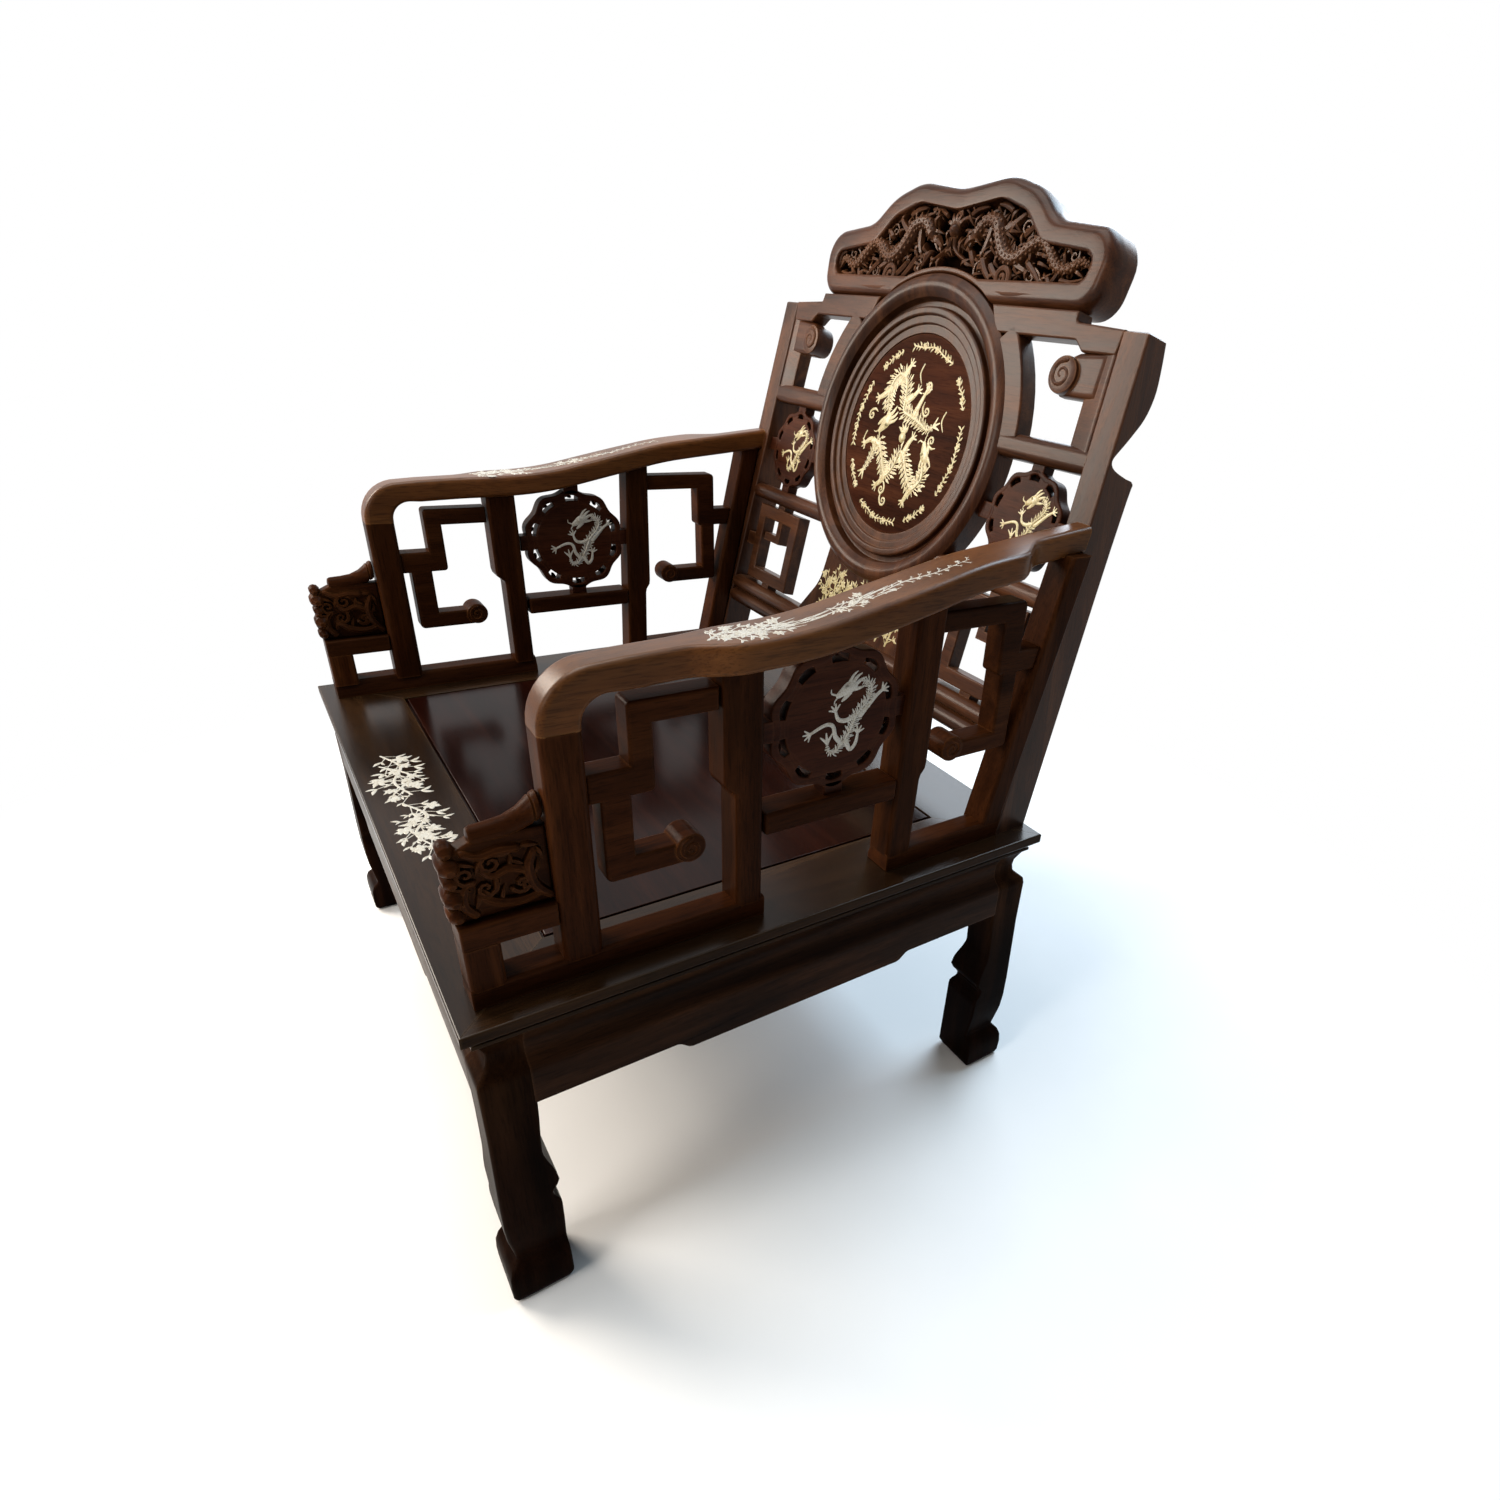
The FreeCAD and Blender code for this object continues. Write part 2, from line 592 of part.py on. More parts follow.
def arm_board(points, thickness=ARM_THICKNESS):
    """A piece of the arm cut to an outline seen from the side, in the middle of the arm's thickness."""
    return prism(points, side_plane(ARM_MIDDLE - thickness / 2), V(thickness, 0, 0))


def arm_sills():
    bevel = SILL_HEIGHT * 0.7
    section = [
        (ARM_OUT, SEAT_HEIGHT),
        (ARM_OUT, SILL_TOP, SILL_ROUND),
        (ARM_MIDDLE - TENON_THICKNESS, SILL_TOP, 1.5 * SILL_ROUND),
        (ARM_IN, SILL_TOP - bevel),
        (ARM_IN, SEAT_HEIGHT),
    ]
    front_length = MID_POST_BACK - ARM_FRONT
    front = prism(section, front_plane(ARM_FRONT), V(0, front_length, 0))
    start = REAR_MID_FRONT
    end = back_face(SILL_TOP)
    rear = prism(section, front_plane(start), V(0, end - start, 0))
    past = end + OVERSHOOT
    behind = [(past, SEAT_HEIGHT), (BACK_FOOT, SEAT_HEIGHT), (end, SILL_TOP), (past, SILL_TOP)]
    rear = rear.cut(arm_board(behind))
    return front, rear


def mid_post(rail):
    top = SEAT_HEIGHT + ARM_RAIL_DIP_HEIGHT - ARM_RAIL_THICKNESS / 2
    shoulder = SEAT_HEIGHT + POST_SHOULDER_HEIGHT
    outline = [
        (MID_POST_BACK, SILL_TOP),
        (MID_POST_BACK, top),
        (MID_POST_FRONT - POST_SHOULDER, top),
        (MID_POST_FRONT - POST_SHOULDER, shoulder + POST_SHOULDER, POST_SHOULDER * 0.5),
        (MID_POST_FRONT, shoulder, POST_SHOULDER * 0.66),
        (MID_POST_FRONT, SILL_TOP),
    ]
    return eased(arm_board(outline), 0, shortest=MID_POST_WIDTH + 1.1 * POST_SHOULDER).cut(rail)


def rear_mid_post(rail):
    """Post behind the medallion, leaning back a little, with a small cusp on its rear edge."""
    top = SEAT_HEIGHT + ARM_RAIL_RISE_HEIGHT - ARM_RAIL_THICKNESS / 2
    lean = REAR_MID_POST_LEAN
    cusp = SEAT_HEIGHT + POST_SHOULDER_HEIGHT - POST_SHOULDER * 2
    outline = [
        (REAR_MID_FRONT, SILL_TOP),
        (REAR_MID_FRONT + lean, top),
        (REAR_MID_BACK + lean + POST_CUSP / 2, top),
        (REAR_MID_BACK + lean / 2 + POST_CUSP, cusp + 10 * POST_CUSP, 15 * POST_CUSP),
        (REAR_MID_BACK + lean / 2 + POST_CUSP, cusp, POST_CUSP / 2),
        (REAR_MID_BACK + lean / 3 - POST_CUSP / 4, cusp - 2 * POST_CUSP, 1.25 * POST_CUSP),
        (REAR_MID_BACK, SILL_TOP),
    ]
    post = arm_board(outline).cut(rail)
    return max(post.Solids, key=lambda s: s.Volume)


def rear_post(rail):
    """Post against the stile, cut to the rake of the back."""
    top = SEAT_HEIGHT + ARM_RAIL_REAR_HEIGHT - ARM_RAIL_THICKNESS / 2
    outline = [
        (back_face(SILL_TOP) - REAR_POST_WIDTH, SILL_TOP),
        (back_face(top) - REAR_POST_WIDTH, top),
        (back_face(top), top),
        (back_face(SILL_TOP), SILL_TOP),
    ]
    return arm_board(outline).cut(rail)


def curl(centre_y, centre_z, radius, thickness):
    """Rolled end of a fret bar, a short roll across the arm."""
    start = V(ARM_MIDDLE - thickness / 2, centre_y, centre_z)
    return Part.makeCylinder(radius, thickness, start, V(1, 0, 0))


def front_fret():
    """Stepped fret between the front post and the middle post, ending in a roll."""
    base = SEAT_HEIGHT + FRET_BASE
    step = SEAT_HEIGHT + FRET_STEP
    top = SEAT_HEIGHT + FRET_TOP
    near = FRONT_POST_BACK
    far = MID_POST_FRONT - POST_SHOULDER
    gap = near + FRET_POST_GAP
    outer = gap + FRET_BAR + FRET_OFFSET
    inner = outer + FRET_BAR
    roll = gap + (far - gap) * 0.72
    outline = [
        (near, step),
        (gap, step),
        (gap, base, FRET_ROUND),
        (roll, base),
        (roll, base + FRET_BAR),
        (outer, base + FRET_BAR),
        (outer, step),
        (inner, step, FRET_ROUND),
        (inner, top),
        (far, top),
        (far, top + FRET_BAR),
        (outer, top + FRET_BAR, FRET_ROUND),
        (outer, step + FRET_BAR + FRET_STEP_EXTRA),
        (near, step + FRET_BAR + FRET_STEP_EXTRA),
    ]
    fret = eased(arm_board(outline, FRET_THICKNESS), 0, FRET_EASING)
    roll_z = base + FRET_CURL_RADIUS
    return fret.fuse(curl(roll, roll_z, FRET_CURL_RADIUS, FRET_THICKNESS)).removeSplitter()


def rear_fret():
    """The front fret's counterpart between the rear middle post and the rear post."""
    rise = REAR_FRET_RISE
    base = SEAT_HEIGHT + FRET_BASE + rise
    step = SEAT_HEIGHT + FRET_STEP + rise + REAR_FRET_STEP_RISE
    step_top = step + FRET_BAR + REAR_FRET_STEP_EXTRA
    top = SEAT_HEIGHT + FRET_TOP + rise + REAR_FRET_TOP_RISE
    post_at_step = back_face(step) - REAR_POST_WIDTH
    post_at_rise = back_face(step_top) - REAR_POST_WIDTH
    near = REAR_MID_BACK + REAR_MID_POST_LEAN / 2
    outer = back_face(base) - REAR_POST_WIDTH - REAR_FRET_GAP
    upper = outer - FRET_BAR
    inner = upper - REAR_FRET_OFFSET
    roll = near + (outer - near) * 0.32
    outline = [
        (post_at_step, step),
        (post_at_rise, step_top),
        (upper + FRET_BAR, step_top),
        (upper + FRET_BAR, top + FRET_BAR, FRET_ROUND),
        (near - REAR_MID_POST_WIDTH / 2, top + FRET_BAR),
        (near - REAR_MID_POST_WIDTH / 2, top),
        (upper - REAR_FRET_WIDEN, top),
        (upper - REAR_FRET_WIDEN, step, FRET_ROUND),
        (inner, step),
        (inner, base + FRET_BAR),
        (roll, base + FRET_BAR),
        (roll, base),
        (outer, base, FRET_ROUND),
        (outer, step),
    ]
    fret = arm_board(outline, FRET_THICKNESS).cut(parts["rear_mid_post_left"])
    fret = max(fret.Solids, key=lambda s: s.Volume)
    roll_z = base + FRET_CURL_RADIUS
    return fret.fuse(curl(roll, roll_z, FRET_CURL_RADIUS, FRET_THICKNESS)).removeSplitter()


def scalloped(radius, lobes, place, direction):
    """Disc whose rim is a ring of shallow lobes."""
    dip = radius * LOBE_DIP
    edges = []
    for i in range(lobes):
        angles = [2 * math.pi * (i + share) / lobes for share in (0.0, 0.5, 1.0)]
        reaches = (dip, radius, dip)
        ends = [place(V(r * math.cos(a), r * math.sin(a), 0)) for r, a in zip(reaches, angles)]
        edges.append(Part.Arc(*ends).toShape())
    return Part.Face(Part.Wire(edges)).extrude(direction)


def pierced_medallion(radius, place, direction):
    """Scalloped disc with a ring of round piercings near its rim."""
    disc = scalloped(radius, MEDALLION_LOBES, place, direction)
    reach = radius * PIERCING_REACH
    for i in range(MEDALLION_LOBES):
        angle = 2 * math.pi * (i + 0.5) / MEDALLION_LOBES
        point = place(V(reach * math.cos(angle), reach * math.sin(angle), 0))
        hole = Part.makeCylinder(radius * PIERCING_SHARE, direction.Length, point, direction)
        disc = disc.cut(hole)
    return disc


def medallion_place():
    """Middle of the gap between the two middle posts and the two rails, and the radius that fits it."""
    low = SEAT_HEIGHT + MEDALLION_RAIL_TOP
    far = REAR_MID_FRONT + REAR_MID_POST_LEAN * 0.6
    y = (MID_POST_BACK + far) / 2
    share = (y + HALF_DEPTH - ARM_RAIL_DIP) / (ARM_RAIL_RISE - ARM_RAIL_DIP)
    rail_top = ARM_RAIL_DIP_HEIGHT + share * (ARM_RAIL_RISE_HEIGHT - ARM_RAIL_DIP_HEIGHT)
    high = SEAT_HEIGHT + rail_top - ARM_RAIL_THICKNESS
    radius = min(far - MID_POST_BACK, high - low) / 2 - MEDALLION_GAP
    return y, (low + high) / 2, radius


def arm_medallion(rail):
    """Medallion with four lugs that reach the posts, the arm rail and the medallion rail."""
    y, z, radius = medallion_place()
    x = ARM_MIDDLE - MEDALLION_THICKNESS / 2
    thickness = V(MEDALLION_THICKNESS, 0, 0)
    place = lambda v: V(x, y + v.x, z + v.y)
    disc = pierced_medallion(radius, place, thickness)
    lug = FRET_BAR / 2
    low = SEAT_HEIGHT + MEDALLION_RAIL_TOP
    high = SEAT_HEIGHT + ARM_RAIL_DIP_HEIGHT
    upright = box((x, y - lug, low), (x + MEDALLION_THICKNESS, y + lug, high))
    level = box(
        (x, MID_POST_BACK, z - lug),
        (x + MEDALLION_THICKNESS, REAR_MID_FRONT + REAR_MID_POST_LEAN * 2, z + lug),
    )
    lugs = upright.fuse(level).cut(scalloped(radius * CORE_SHARE, MEDALLION_LOBES, place, thickness))
    whole = disc.fuse(lugs).removeSplitter().cut(rail).cut(parts["rear_mid_post_left"])
    return max(whole.Solids, key=lambda s: s.Volume)


def medallion_rail():
    low = SEAT_HEIGHT + MEDALLION_RAIL_BASE
    outline = rectangle(MID_POST_BACK, low, REAR_MID_BACK, low + MEDALLION_RAIL_HEIGHT)
    bar = arm_board(outline).cut(parts["rear_mid_post_left"])
    return max(bar.Solids, key=lambda s: s.Volume)


def carved_panel():
    """Carved foliage panel over the small front window, with its rail and a rolled top."""
    base = SILL_TOP + STUB_POST_HEIGHT - SILL_HEIGHT
    rail_top = base + WINDOW_RAIL_HEIGHT
    height = CARVED_PANEL_HEIGHT
    crown = rail_top + height
    lobe = CARVED_LOBE
    back = FRONT_POST_FRONT
    rail = arm_board(rectangle(ARM_FRONT, base, back, rail_top))
    outline = [
        (ARM_FRONT + lobe * 0.25, rail_top),
        (ARM_FRONT - lobe * 0.75, rail_top + height * 0.33, lobe * 1.5),
        (ARM_FRONT + lobe * 0.25, rail_top + height * 0.56, lobe * 1.25),
        (ARM_FRONT - lobe * 0.5, rail_top + height * 0.79, lobe * 1.25),
        (ARM_FRONT + lobe * 2.75, crown - lobe / 2, lobe * 1.75),
        (back, crown - lobe / 2),
        (back, rail_top),
    ]
    board = arm_board(outline, CARVED_PANEL_THICKNESS)
    for share_y, share_z in ((0.33, 0.3), (0.62, 0.25), (0.68, 0.62)):
        y = ARM_FRONT + (back - ARM_FRONT) * share_y
        board = board.cut(curl(y, rail_top + height * share_z, lobe, CARVED_PANEL_THICKNESS))
    start = V(ARM_MIDDLE, ARM_FRONT + 3 * lobe, crown - CARVED_ROLL_RADIUS / 3)
    roll = Part.makeCylinder(CARVED_ROLL_RADIUS, back - start.y, start, V(0, 1, 0))
    return rail.fuse(board).fuse(roll).removeSplitter()


def dowel(y, z, length_y=0.0, length_z=0.0):
    """Square tenon in the middle of the arm, from a point and reaching along Y or Z."""
    half = DOWEL / 2
    ys = sorted((y, y + length_y)) if length_y else (y - half, y + half)
    zs = sorted((z, z + length_z)) if length_z else (z - half, z + half)
    return box((ARM_MIDDLE - half, ys[0], zs[0]), (ARM_MIDDLE + half, ys[1], zs[1]))


def arms():
    """One arm at +X, its joints cut, then its mirror image."""
    rail = arm_rail()
    parts["arm_rail_left"] = rail
    parts["front_sill_left"], parts["rear_sill_left"] = arm_sills()
    heel = SEAT_HEIGHT + ARM_RAIL_FRONT_HEIGHT - ARM_RAIL_BEND
    post = arm_board(rectangle(FRONT_POST_FRONT, SILL_TOP, FRONT_POST_BACK, heel))
    parts["front_post_left"] = eased(post, 0, POST_EASING, FRONT_POST_WIDTH * 1.05)
    stub_top = SEAT_HEIGHT + STUB_POST_HEIGHT
    stub = rectangle(ARM_FRONT, SILL_TOP, ARM_FRONT + STUB_POST_WIDTH, stub_top)
    parts["stub_post_left"] = arm_board(stub)
    parts["mid_post_left"] = mid_post(rail)
    parts["rear_mid_post_left"] = rear_mid_post(rail)
    parts["rear_post_left"] = rear_post(rail)
    parts["carved_panel_left"] = carved_panel()
    parts["medallion_rail_left"] = medallion_rail()
    parts["arm_medallion_left"] = arm_medallion(rail)
    parts["front_fret_left"] = front_fret()
    parts["rear_fret_left"] = rear_fret()
    arm_joints(heel, stub_top)
    for name in [n for n in parts if n.endswith("_left") and arm_name(n)]:
        parts[name.replace("_left", "_right")] = mirrored(parts[name])


def arm_name(name):
    return not name.startswith(("leg", "apron", "seat"))


def arm_joints(heel, stub_top):
    """Tenons of posts in sills and rail, of frets and medallion in posts, and of the sills in the seat."""
    length = TENON_LENGTH
    front_mid = (FRONT_POST_FRONT + FRONT_POST_BACK) / 2
    middle = (MID_POST_FRONT + MID_POST_BACK) / 2
    rear_middle = (REAR_MID_FRONT + REAR_MID_BACK) / 2
    stub_middle = ARM_FRONT + STUB_POST_WIDTH / 2
    rear_foot = back_face(SILL_TOP) - REAR_POST_WIDTH / 2
    for post, y, sill in (
        ("front_post_left", front_mid, "front_sill_left"),
        ("stub_post_left", stub_middle, "front_sill_left"),
        ("mid_post_left", middle, "front_sill_left"),
        ("rear_mid_post_left", rear_middle, "rear_sill_left"),
        ("rear_post_left", rear_foot, "rear_sill_left"),
    ):
        tenon(post, sill, dowel(y, SILL_TOP, length_z=-length))
    tenon("front_post_left", "arm_rail_left", dowel(front_mid, heel, length_z=length))
    tenon("stub_post_left", "carved_panel_left", dowel(stub_middle, stub_top, length_z=length))
    for post, y in (("mid_post_left", middle), ("rear_mid_post_left", rear_middle + REAR_MID_POST_LEAN)):
        box_top = parts[post].BoundBox.ZMax
        tenon(post, "arm_rail_left", dowel(y, box_top - length, length_z=length + length / 2))
    panel_z = SEAT_HEIGHT + STUB_POST_HEIGHT + WINDOW_RAIL_HEIGHT / 2
    tenon("carved_panel_left", "front_post_left", dowel(FRONT_POST_FRONT, panel_z, length_y=length))
    step_z = SEAT_HEIGHT + FRET_STEP + FRET_BAR / 2
    tenon("front_fret_left", "front_post_left", dowel(FRONT_POST_BACK, step_z, length_y=-length))
    top_z = SEAT_HEIGHT + FRET_TOP + FRET_BAR / 2
    tenon("front_fret_left", "mid_post_left", dowel(MID_POST_FRONT - POST_SHOULDER, top_z, length_y=length))
    rail_z = SEAT_HEIGHT + MEDALLION_RAIL_BASE + MEDALLION_RAIL_HEIGHT / 2
    tenon("medallion_rail_left", "mid_post_left", dowel(MID_POST_BACK, rail_z, length_y=-length))
    bar_end = parts["medallion_rail_left"].BoundBox.YMax
    bar_tenon = dowel(bar_end - length, rail_z, length_y=1.85 * length)
    tenon("medallion_rail_left", "rear_mid_post_left", bar_tenon)
    z = medallion_place()[1]
    tenon("arm_medallion_left", "mid_post_left", dowel(MID_POST_BACK, z, length_y=-length))
    rise = REAR_FRET_RISE
    rear_top_z = top_z + rise + REAR_FRET_TOP_RISE
    fret_start = parts["rear_fret_left"].BoundBox.YMin
    top_tenon = dowel(fret_start + length, rear_top_z, length_y=-2 * length)
    tenon("rear_fret_left", "rear_mid_post_left", top_tenon)
    rear_step_z = step_z + rise + REAR_FRET_STEP_RISE
    step_end = back_face(rear_step_z) - REAR_POST_WIDTH
    tenon("rear_fret_left", "rear_post_left", dowel(step_end - length, rear_step_z, length_y=2 * length))
    for sill, y in (
        ("front_sill_left", (front_mid + middle) / 2),
        ("front_sill_left", (stub_middle + front_mid) / 2),
        ("rear_sill_left", (rear_middle + rear_foot) / 2),
    ):
        block = dowel(y, SEAT_HEIGHT + TENON_SHOULDER, length_z=-length - TENON_SHOULDER)
        parts[sill] = parts[sill].fuse(block).removeSplitter()
        parts["seat_rail_left"] = parts["seat_rail_left"].cut(block)
        parts["seat_rail_right"] = parts["seat_rail_right"].cut(mirrored(block))


# Back: built upright, then raked


def stile_edge(height):
    """Outer edge of a stile at a height up the back."""
    return ARM_OUT - STILE_LEAN * height / BACK_HEIGHT


def stile_inner(height):
    return stile_edge(height) - STILE_WIDTH


def back_board(points, depth=BACK_RAIL_DEPTH, setback=BACK_RAIL_SETBACK):
    return prism(points, back_plane(setback), V(0, depth, 0))


def ring_cylinder(radius=RING_RADIUS):
    centre = V(0, BACK_FOOT - STILE_DEPTH, SEAT_HEIGHT + RING_CENTRE)
    return Part.makeCylinder(radius, 3 * STILE_DEPTH, centre, V(0, 1, 0))


def upright_stile():
    """Stile of the left side: leaning in, deep below its rear shoulder and thinning to the top."""
    below = -STILE_DEPTH
    face = [
        (stile_edge(below), below),
        (stile_edge(BACK_HEIGHT), BACK_HEIGHT),
        (stile_inner(BACK_HEIGHT), BACK_HEIGHT),
        (stile_inner(below), below),
    ]
    shoulder = STILE_SHOULDER
    notch = STILE_NOTCH
    section = [
        (0, below),
        (STILE_DEPTH, below),
        (STILE_DEPTH, shoulder, notch * 0.19),
        (STILE_DEPTH * 0.56, shoulder + notch * 0.26, notch * 0.16),
        (STILE_DEPTH * 0.5, shoulder + notch, notch * 0.7),
        (STILE_DEPTH * 0.78, shoulder + notch * 2, notch * 0.58),
        (STILE_TOP_DEPTH, BACK_HEIGHT),
        (0, BACK_HEIGHT),
    ]
    board = back_board(face, STILE_DEPTH, 0.0)
    side = prism(section, lambda v: V(0, BACK_FOOT + v.x, SEAT_HEIGHT + v.y), V(HALF_WIDTH, 0, 0))
    return board.common(side)


def ring():
    """Round frame turned with a swelling outer band, a deep groove and stepped rings round the panel."""
    back = BACK_RAIL_SETBACK + BACK_RAIL_DEPTH
    outer = RING_RADIUS
    band = outer - RING_BAND
    step = (band - RING_INNER) / 4
    seat = PANEL_RECESS + ROUND_PANEL_THICKNESS
    lip = RING_INNER + ROUND_PANEL_LIP
    quirk = RING_QUIRK
    floor = PANEL_RECESS - quirk / 2
    points = [
        (outer, back),
        (outer, quirk),
        (outer - RING_BAND * 0.5, -RING_PROUD - quirk, RING_BAND * 0.45),
        (band, quirk),
        (band - quirk, PANEL_RECESS + quirk, quirk),
        (band - step, PANEL_RECESS + quirk, quirk),
        (band - step, quirk * 1.5, quirk * 1.5),
        (band - 2 * step, quirk * 1.5, quirk * 1.5),
        (band - 2 * step, quirk * 3.5),
        (band - 3 * step, quirk * 3.5, quirk),
        (band - 3 * step, floor),
        (RING_INNER, floor),
        (RING_INNER, PANEL_RECESS),
        (lip, PANEL_RECESS),
        (lip, seat),
        (RING_INNER, seat),
        (RING_INNER, back),
    ]
    place = lambda v: V(v.x, BACK_FOOT + v.y, SEAT_HEIGHT + RING_CENTRE)
    face = Part.Face(rounded_wire(points, place))
    return face.revolve(V(0, BACK_FOOT, SEAT_HEIGHT + RING_CENTRE), V(0, 1, 0), 360)


def top_rail():
    """Shoulder rail from the stile to the ring, stepping up under the crest."""
    inner = stile_inner(TOP_RAIL)
    step = CREST_HALF_WIDTH - TOP_RAIL_STEP / 3
    outline = [
        (0, TOP_RAIL),
        (inner, TOP_RAIL),
        (stile_inner(BACK_HEIGHT), BACK_HEIGHT),
        (step + TOP_RAIL_STEP, BACK_HEIGHT + TOP_RAIL_STEP / 8, TOP_RAIL_STEP / 2),
        (step, CREST_BASE),
        (0, CREST_BASE),
    ]
    return back_board(outline).cut(ring_cylinder())


def crest_outline(inset=0.0):
    """Lobed cloud outline of the crest, or its border line at an inset."""
    end = CREST_HALF_WIDTH - inset
    low = CREST_BASE + inset * 0.9
    peak = CREST_BASE + CREST_RISE - inset
    shoulder = CREST_BASE + CREST_SHOULDER - inset
    softness = 1.0 - 0.65 * inset / CREST_BORDER
    lobe = CREST_LOBE
    right = [
        (end - lobe * 4, low, lobe * 1.5 * softness),
        (end + lobe, (low + shoulder) / 2, lobe * 5.5 * softness),
        (end - lobe * 3, shoulder + lobe / 2, lobe * 6.5 * softness),
        (end * 0.64, shoulder + lobe * 3.25, lobe * 15 * softness),
        (end * 0.50, peak - lobe * 3, lobe * 10 * softness),
        (end * 0.31, peak + lobe * 0.75, lobe * 10 * softness),
    ]
    left = [(-p[0],) + tuple(p[1:]) for p in reversed(right)]
    return right + [(0.0, peak - CREST_DIP, lobe * 20)] + left


def crest():
    """Crest board, arched over the ring, with a recessed and pierced field inside a plain border."""
    board = back_board(crest_outline(), CREST_THICKNESS, BACK_RAIL_SETBACK / 2)
    board = eased(board, 1, CREST_EASING)
    field = prism(crest_outline(CREST_BORDER), back_plane(0.0), V(0, CREST_RECESS, 0))
    field = field.cut(ring_cylinder(RING_RADIUS + CREST_BORDER / 2))
    board = board.cut(field)
    depth = CREST_THICKNESS + STILE_DEPTH
    for share_x, share_z, size in (
        (0.12, 0.62, 0.50), (0.27, 0.72, 0.45), (0.30, 0.45, 0.41), (0.47, 0.60, 0.45),
        (0.50, 0.30, 0.41), (0.66, 0.34, 0.45), (0.82, 0.30, 0.41), (0.13, 0.34, 0.36),
    ):
        x = share_x * CREST_HALF_WIDTH
        z = SEAT_HEIGHT + CREST_BASE + share_z * CREST_RISE
        for sign in (-1, 1):
            point = V(sign * x, BACK_FOOT - OVERSHOOT, z)
            board = board.cut(Part.makeCylinder(size * CREST_BORDER, depth, point, V(0, 1, 0)))
    return board.cut(ring_cylinder())


def side_rail(height):
    outline = rectangle(0, height, stile_inner(height), height + SIDE_RAIL_HEIGHT)
    outline[2] = (stile_inner(height + SIDE_RAIL_HEIGHT), height + SIDE_RAIL_HEIGHT)
    return back_board(outline).cut(ring_cylinder())


def scroll_bracket():
    """Strip along the stile with an arm under the shoulder rail that ends in a roll."""
    low = UPPER_RAIL + SIDE_RAIL_HEIGHT
    gap = TOP_RAIL - low
    arm_top = TOP_RAIL - gap * BRACKET_DROP_SHARE
    arm_low = arm_top - gap * BRACKET_ARM_SHARE
    radius = gap * BRACKET_CURL_SHARE
    strip = stile_inner(low) - BRACKET_STRIP
    tip = stile_inner(TOP_RAIL) - BRACKET_REACH
    outline = [
        (strip, low),
        (stile_inner(low), low),
        (stile_inner(TOP_RAIL), TOP_RAIL),
        (strip - BRACKET_STRIP, TOP_RAIL, radius * 0.3),
        (strip - BRACKET_STRIP * 1.36, arm_top, radius * 0.3),
        (tip, arm_top),
        (tip, arm_low),
        (strip, arm_low, radius * 0.2),
    ]
    depth = BACK_RAIL_DEPTH - BRACKET_SETBACK
    setback = BACK_RAIL_SETBACK + BRACKET_SETBACK
    roll_at = V(tip, BACK_FOOT + setback, SEAT_HEIGHT + arm_low + radius)
    roll = Part.makeCylinder(radius, depth, roll_at, V(0, 1, 0))
    return back_board(outline, depth, setback).fuse(roll).removeSplitter()


def side_medallion_place():
    """Middle of the gap between the side rails, the ring and the stile, and the radius that fits it."""
    low = LOWER_RAIL + SIDE_RAIL_HEIGHT
    height = (low + UPPER_RAIL) / 2
    ring_edge = math.sqrt(RING_RADIUS ** 2 - (RING_CENTRE - height) ** 2)
    x = (ring_edge + stile_inner(height)) / 2
    from_ring = math.hypot(x, RING_CENTRE - height) - RING_RADIUS
    radius = min(UPPER_RAIL - height, from_ring, stile_inner(height) - x) - SIDE_MEDALLION_GAP
    return x, height, radius


def side_medallion():
    """Medallion between ring and stile with four lugs that reach its neighbours."""
    x, height, radius = side_medallion_place()
    depth = SIDE_MEDALLION_THICKNESS
    setback = BACK_RAIL_SETBACK + (BACK_RAIL_DEPTH - depth) / 2
    start = BACK_FOOT + setback
    place = lambda v: V(x + v.x, start, SEAT_HEIGHT + height + v.y)
    disc = pierced_medallion(radius, place, V(0, depth, 0))
    half = radius * LUG_SHARE
    low = LOWER_RAIL + SIDE_RAIL_HEIGHT
    upright = back_board(rectangle(x - half, low, x + half, UPPER_RAIL), depth, setback)
    level = back_board([
        (0, height - half), (stile_inner(height - half), height - half),
        (stile_inner(height + half), height + half), (0, height + half),
    ], depth, setback)
    core = scalloped(radius * CORE_SHARE, MEDALLION_LOBES, place, V(0, depth, 0))
    whole = disc.fuse(upright.fuse(level).cut(core)).removeSplitter().cut(ring_cylinder())
    return max(whole.Solids, key=lambda s: s.Volume)


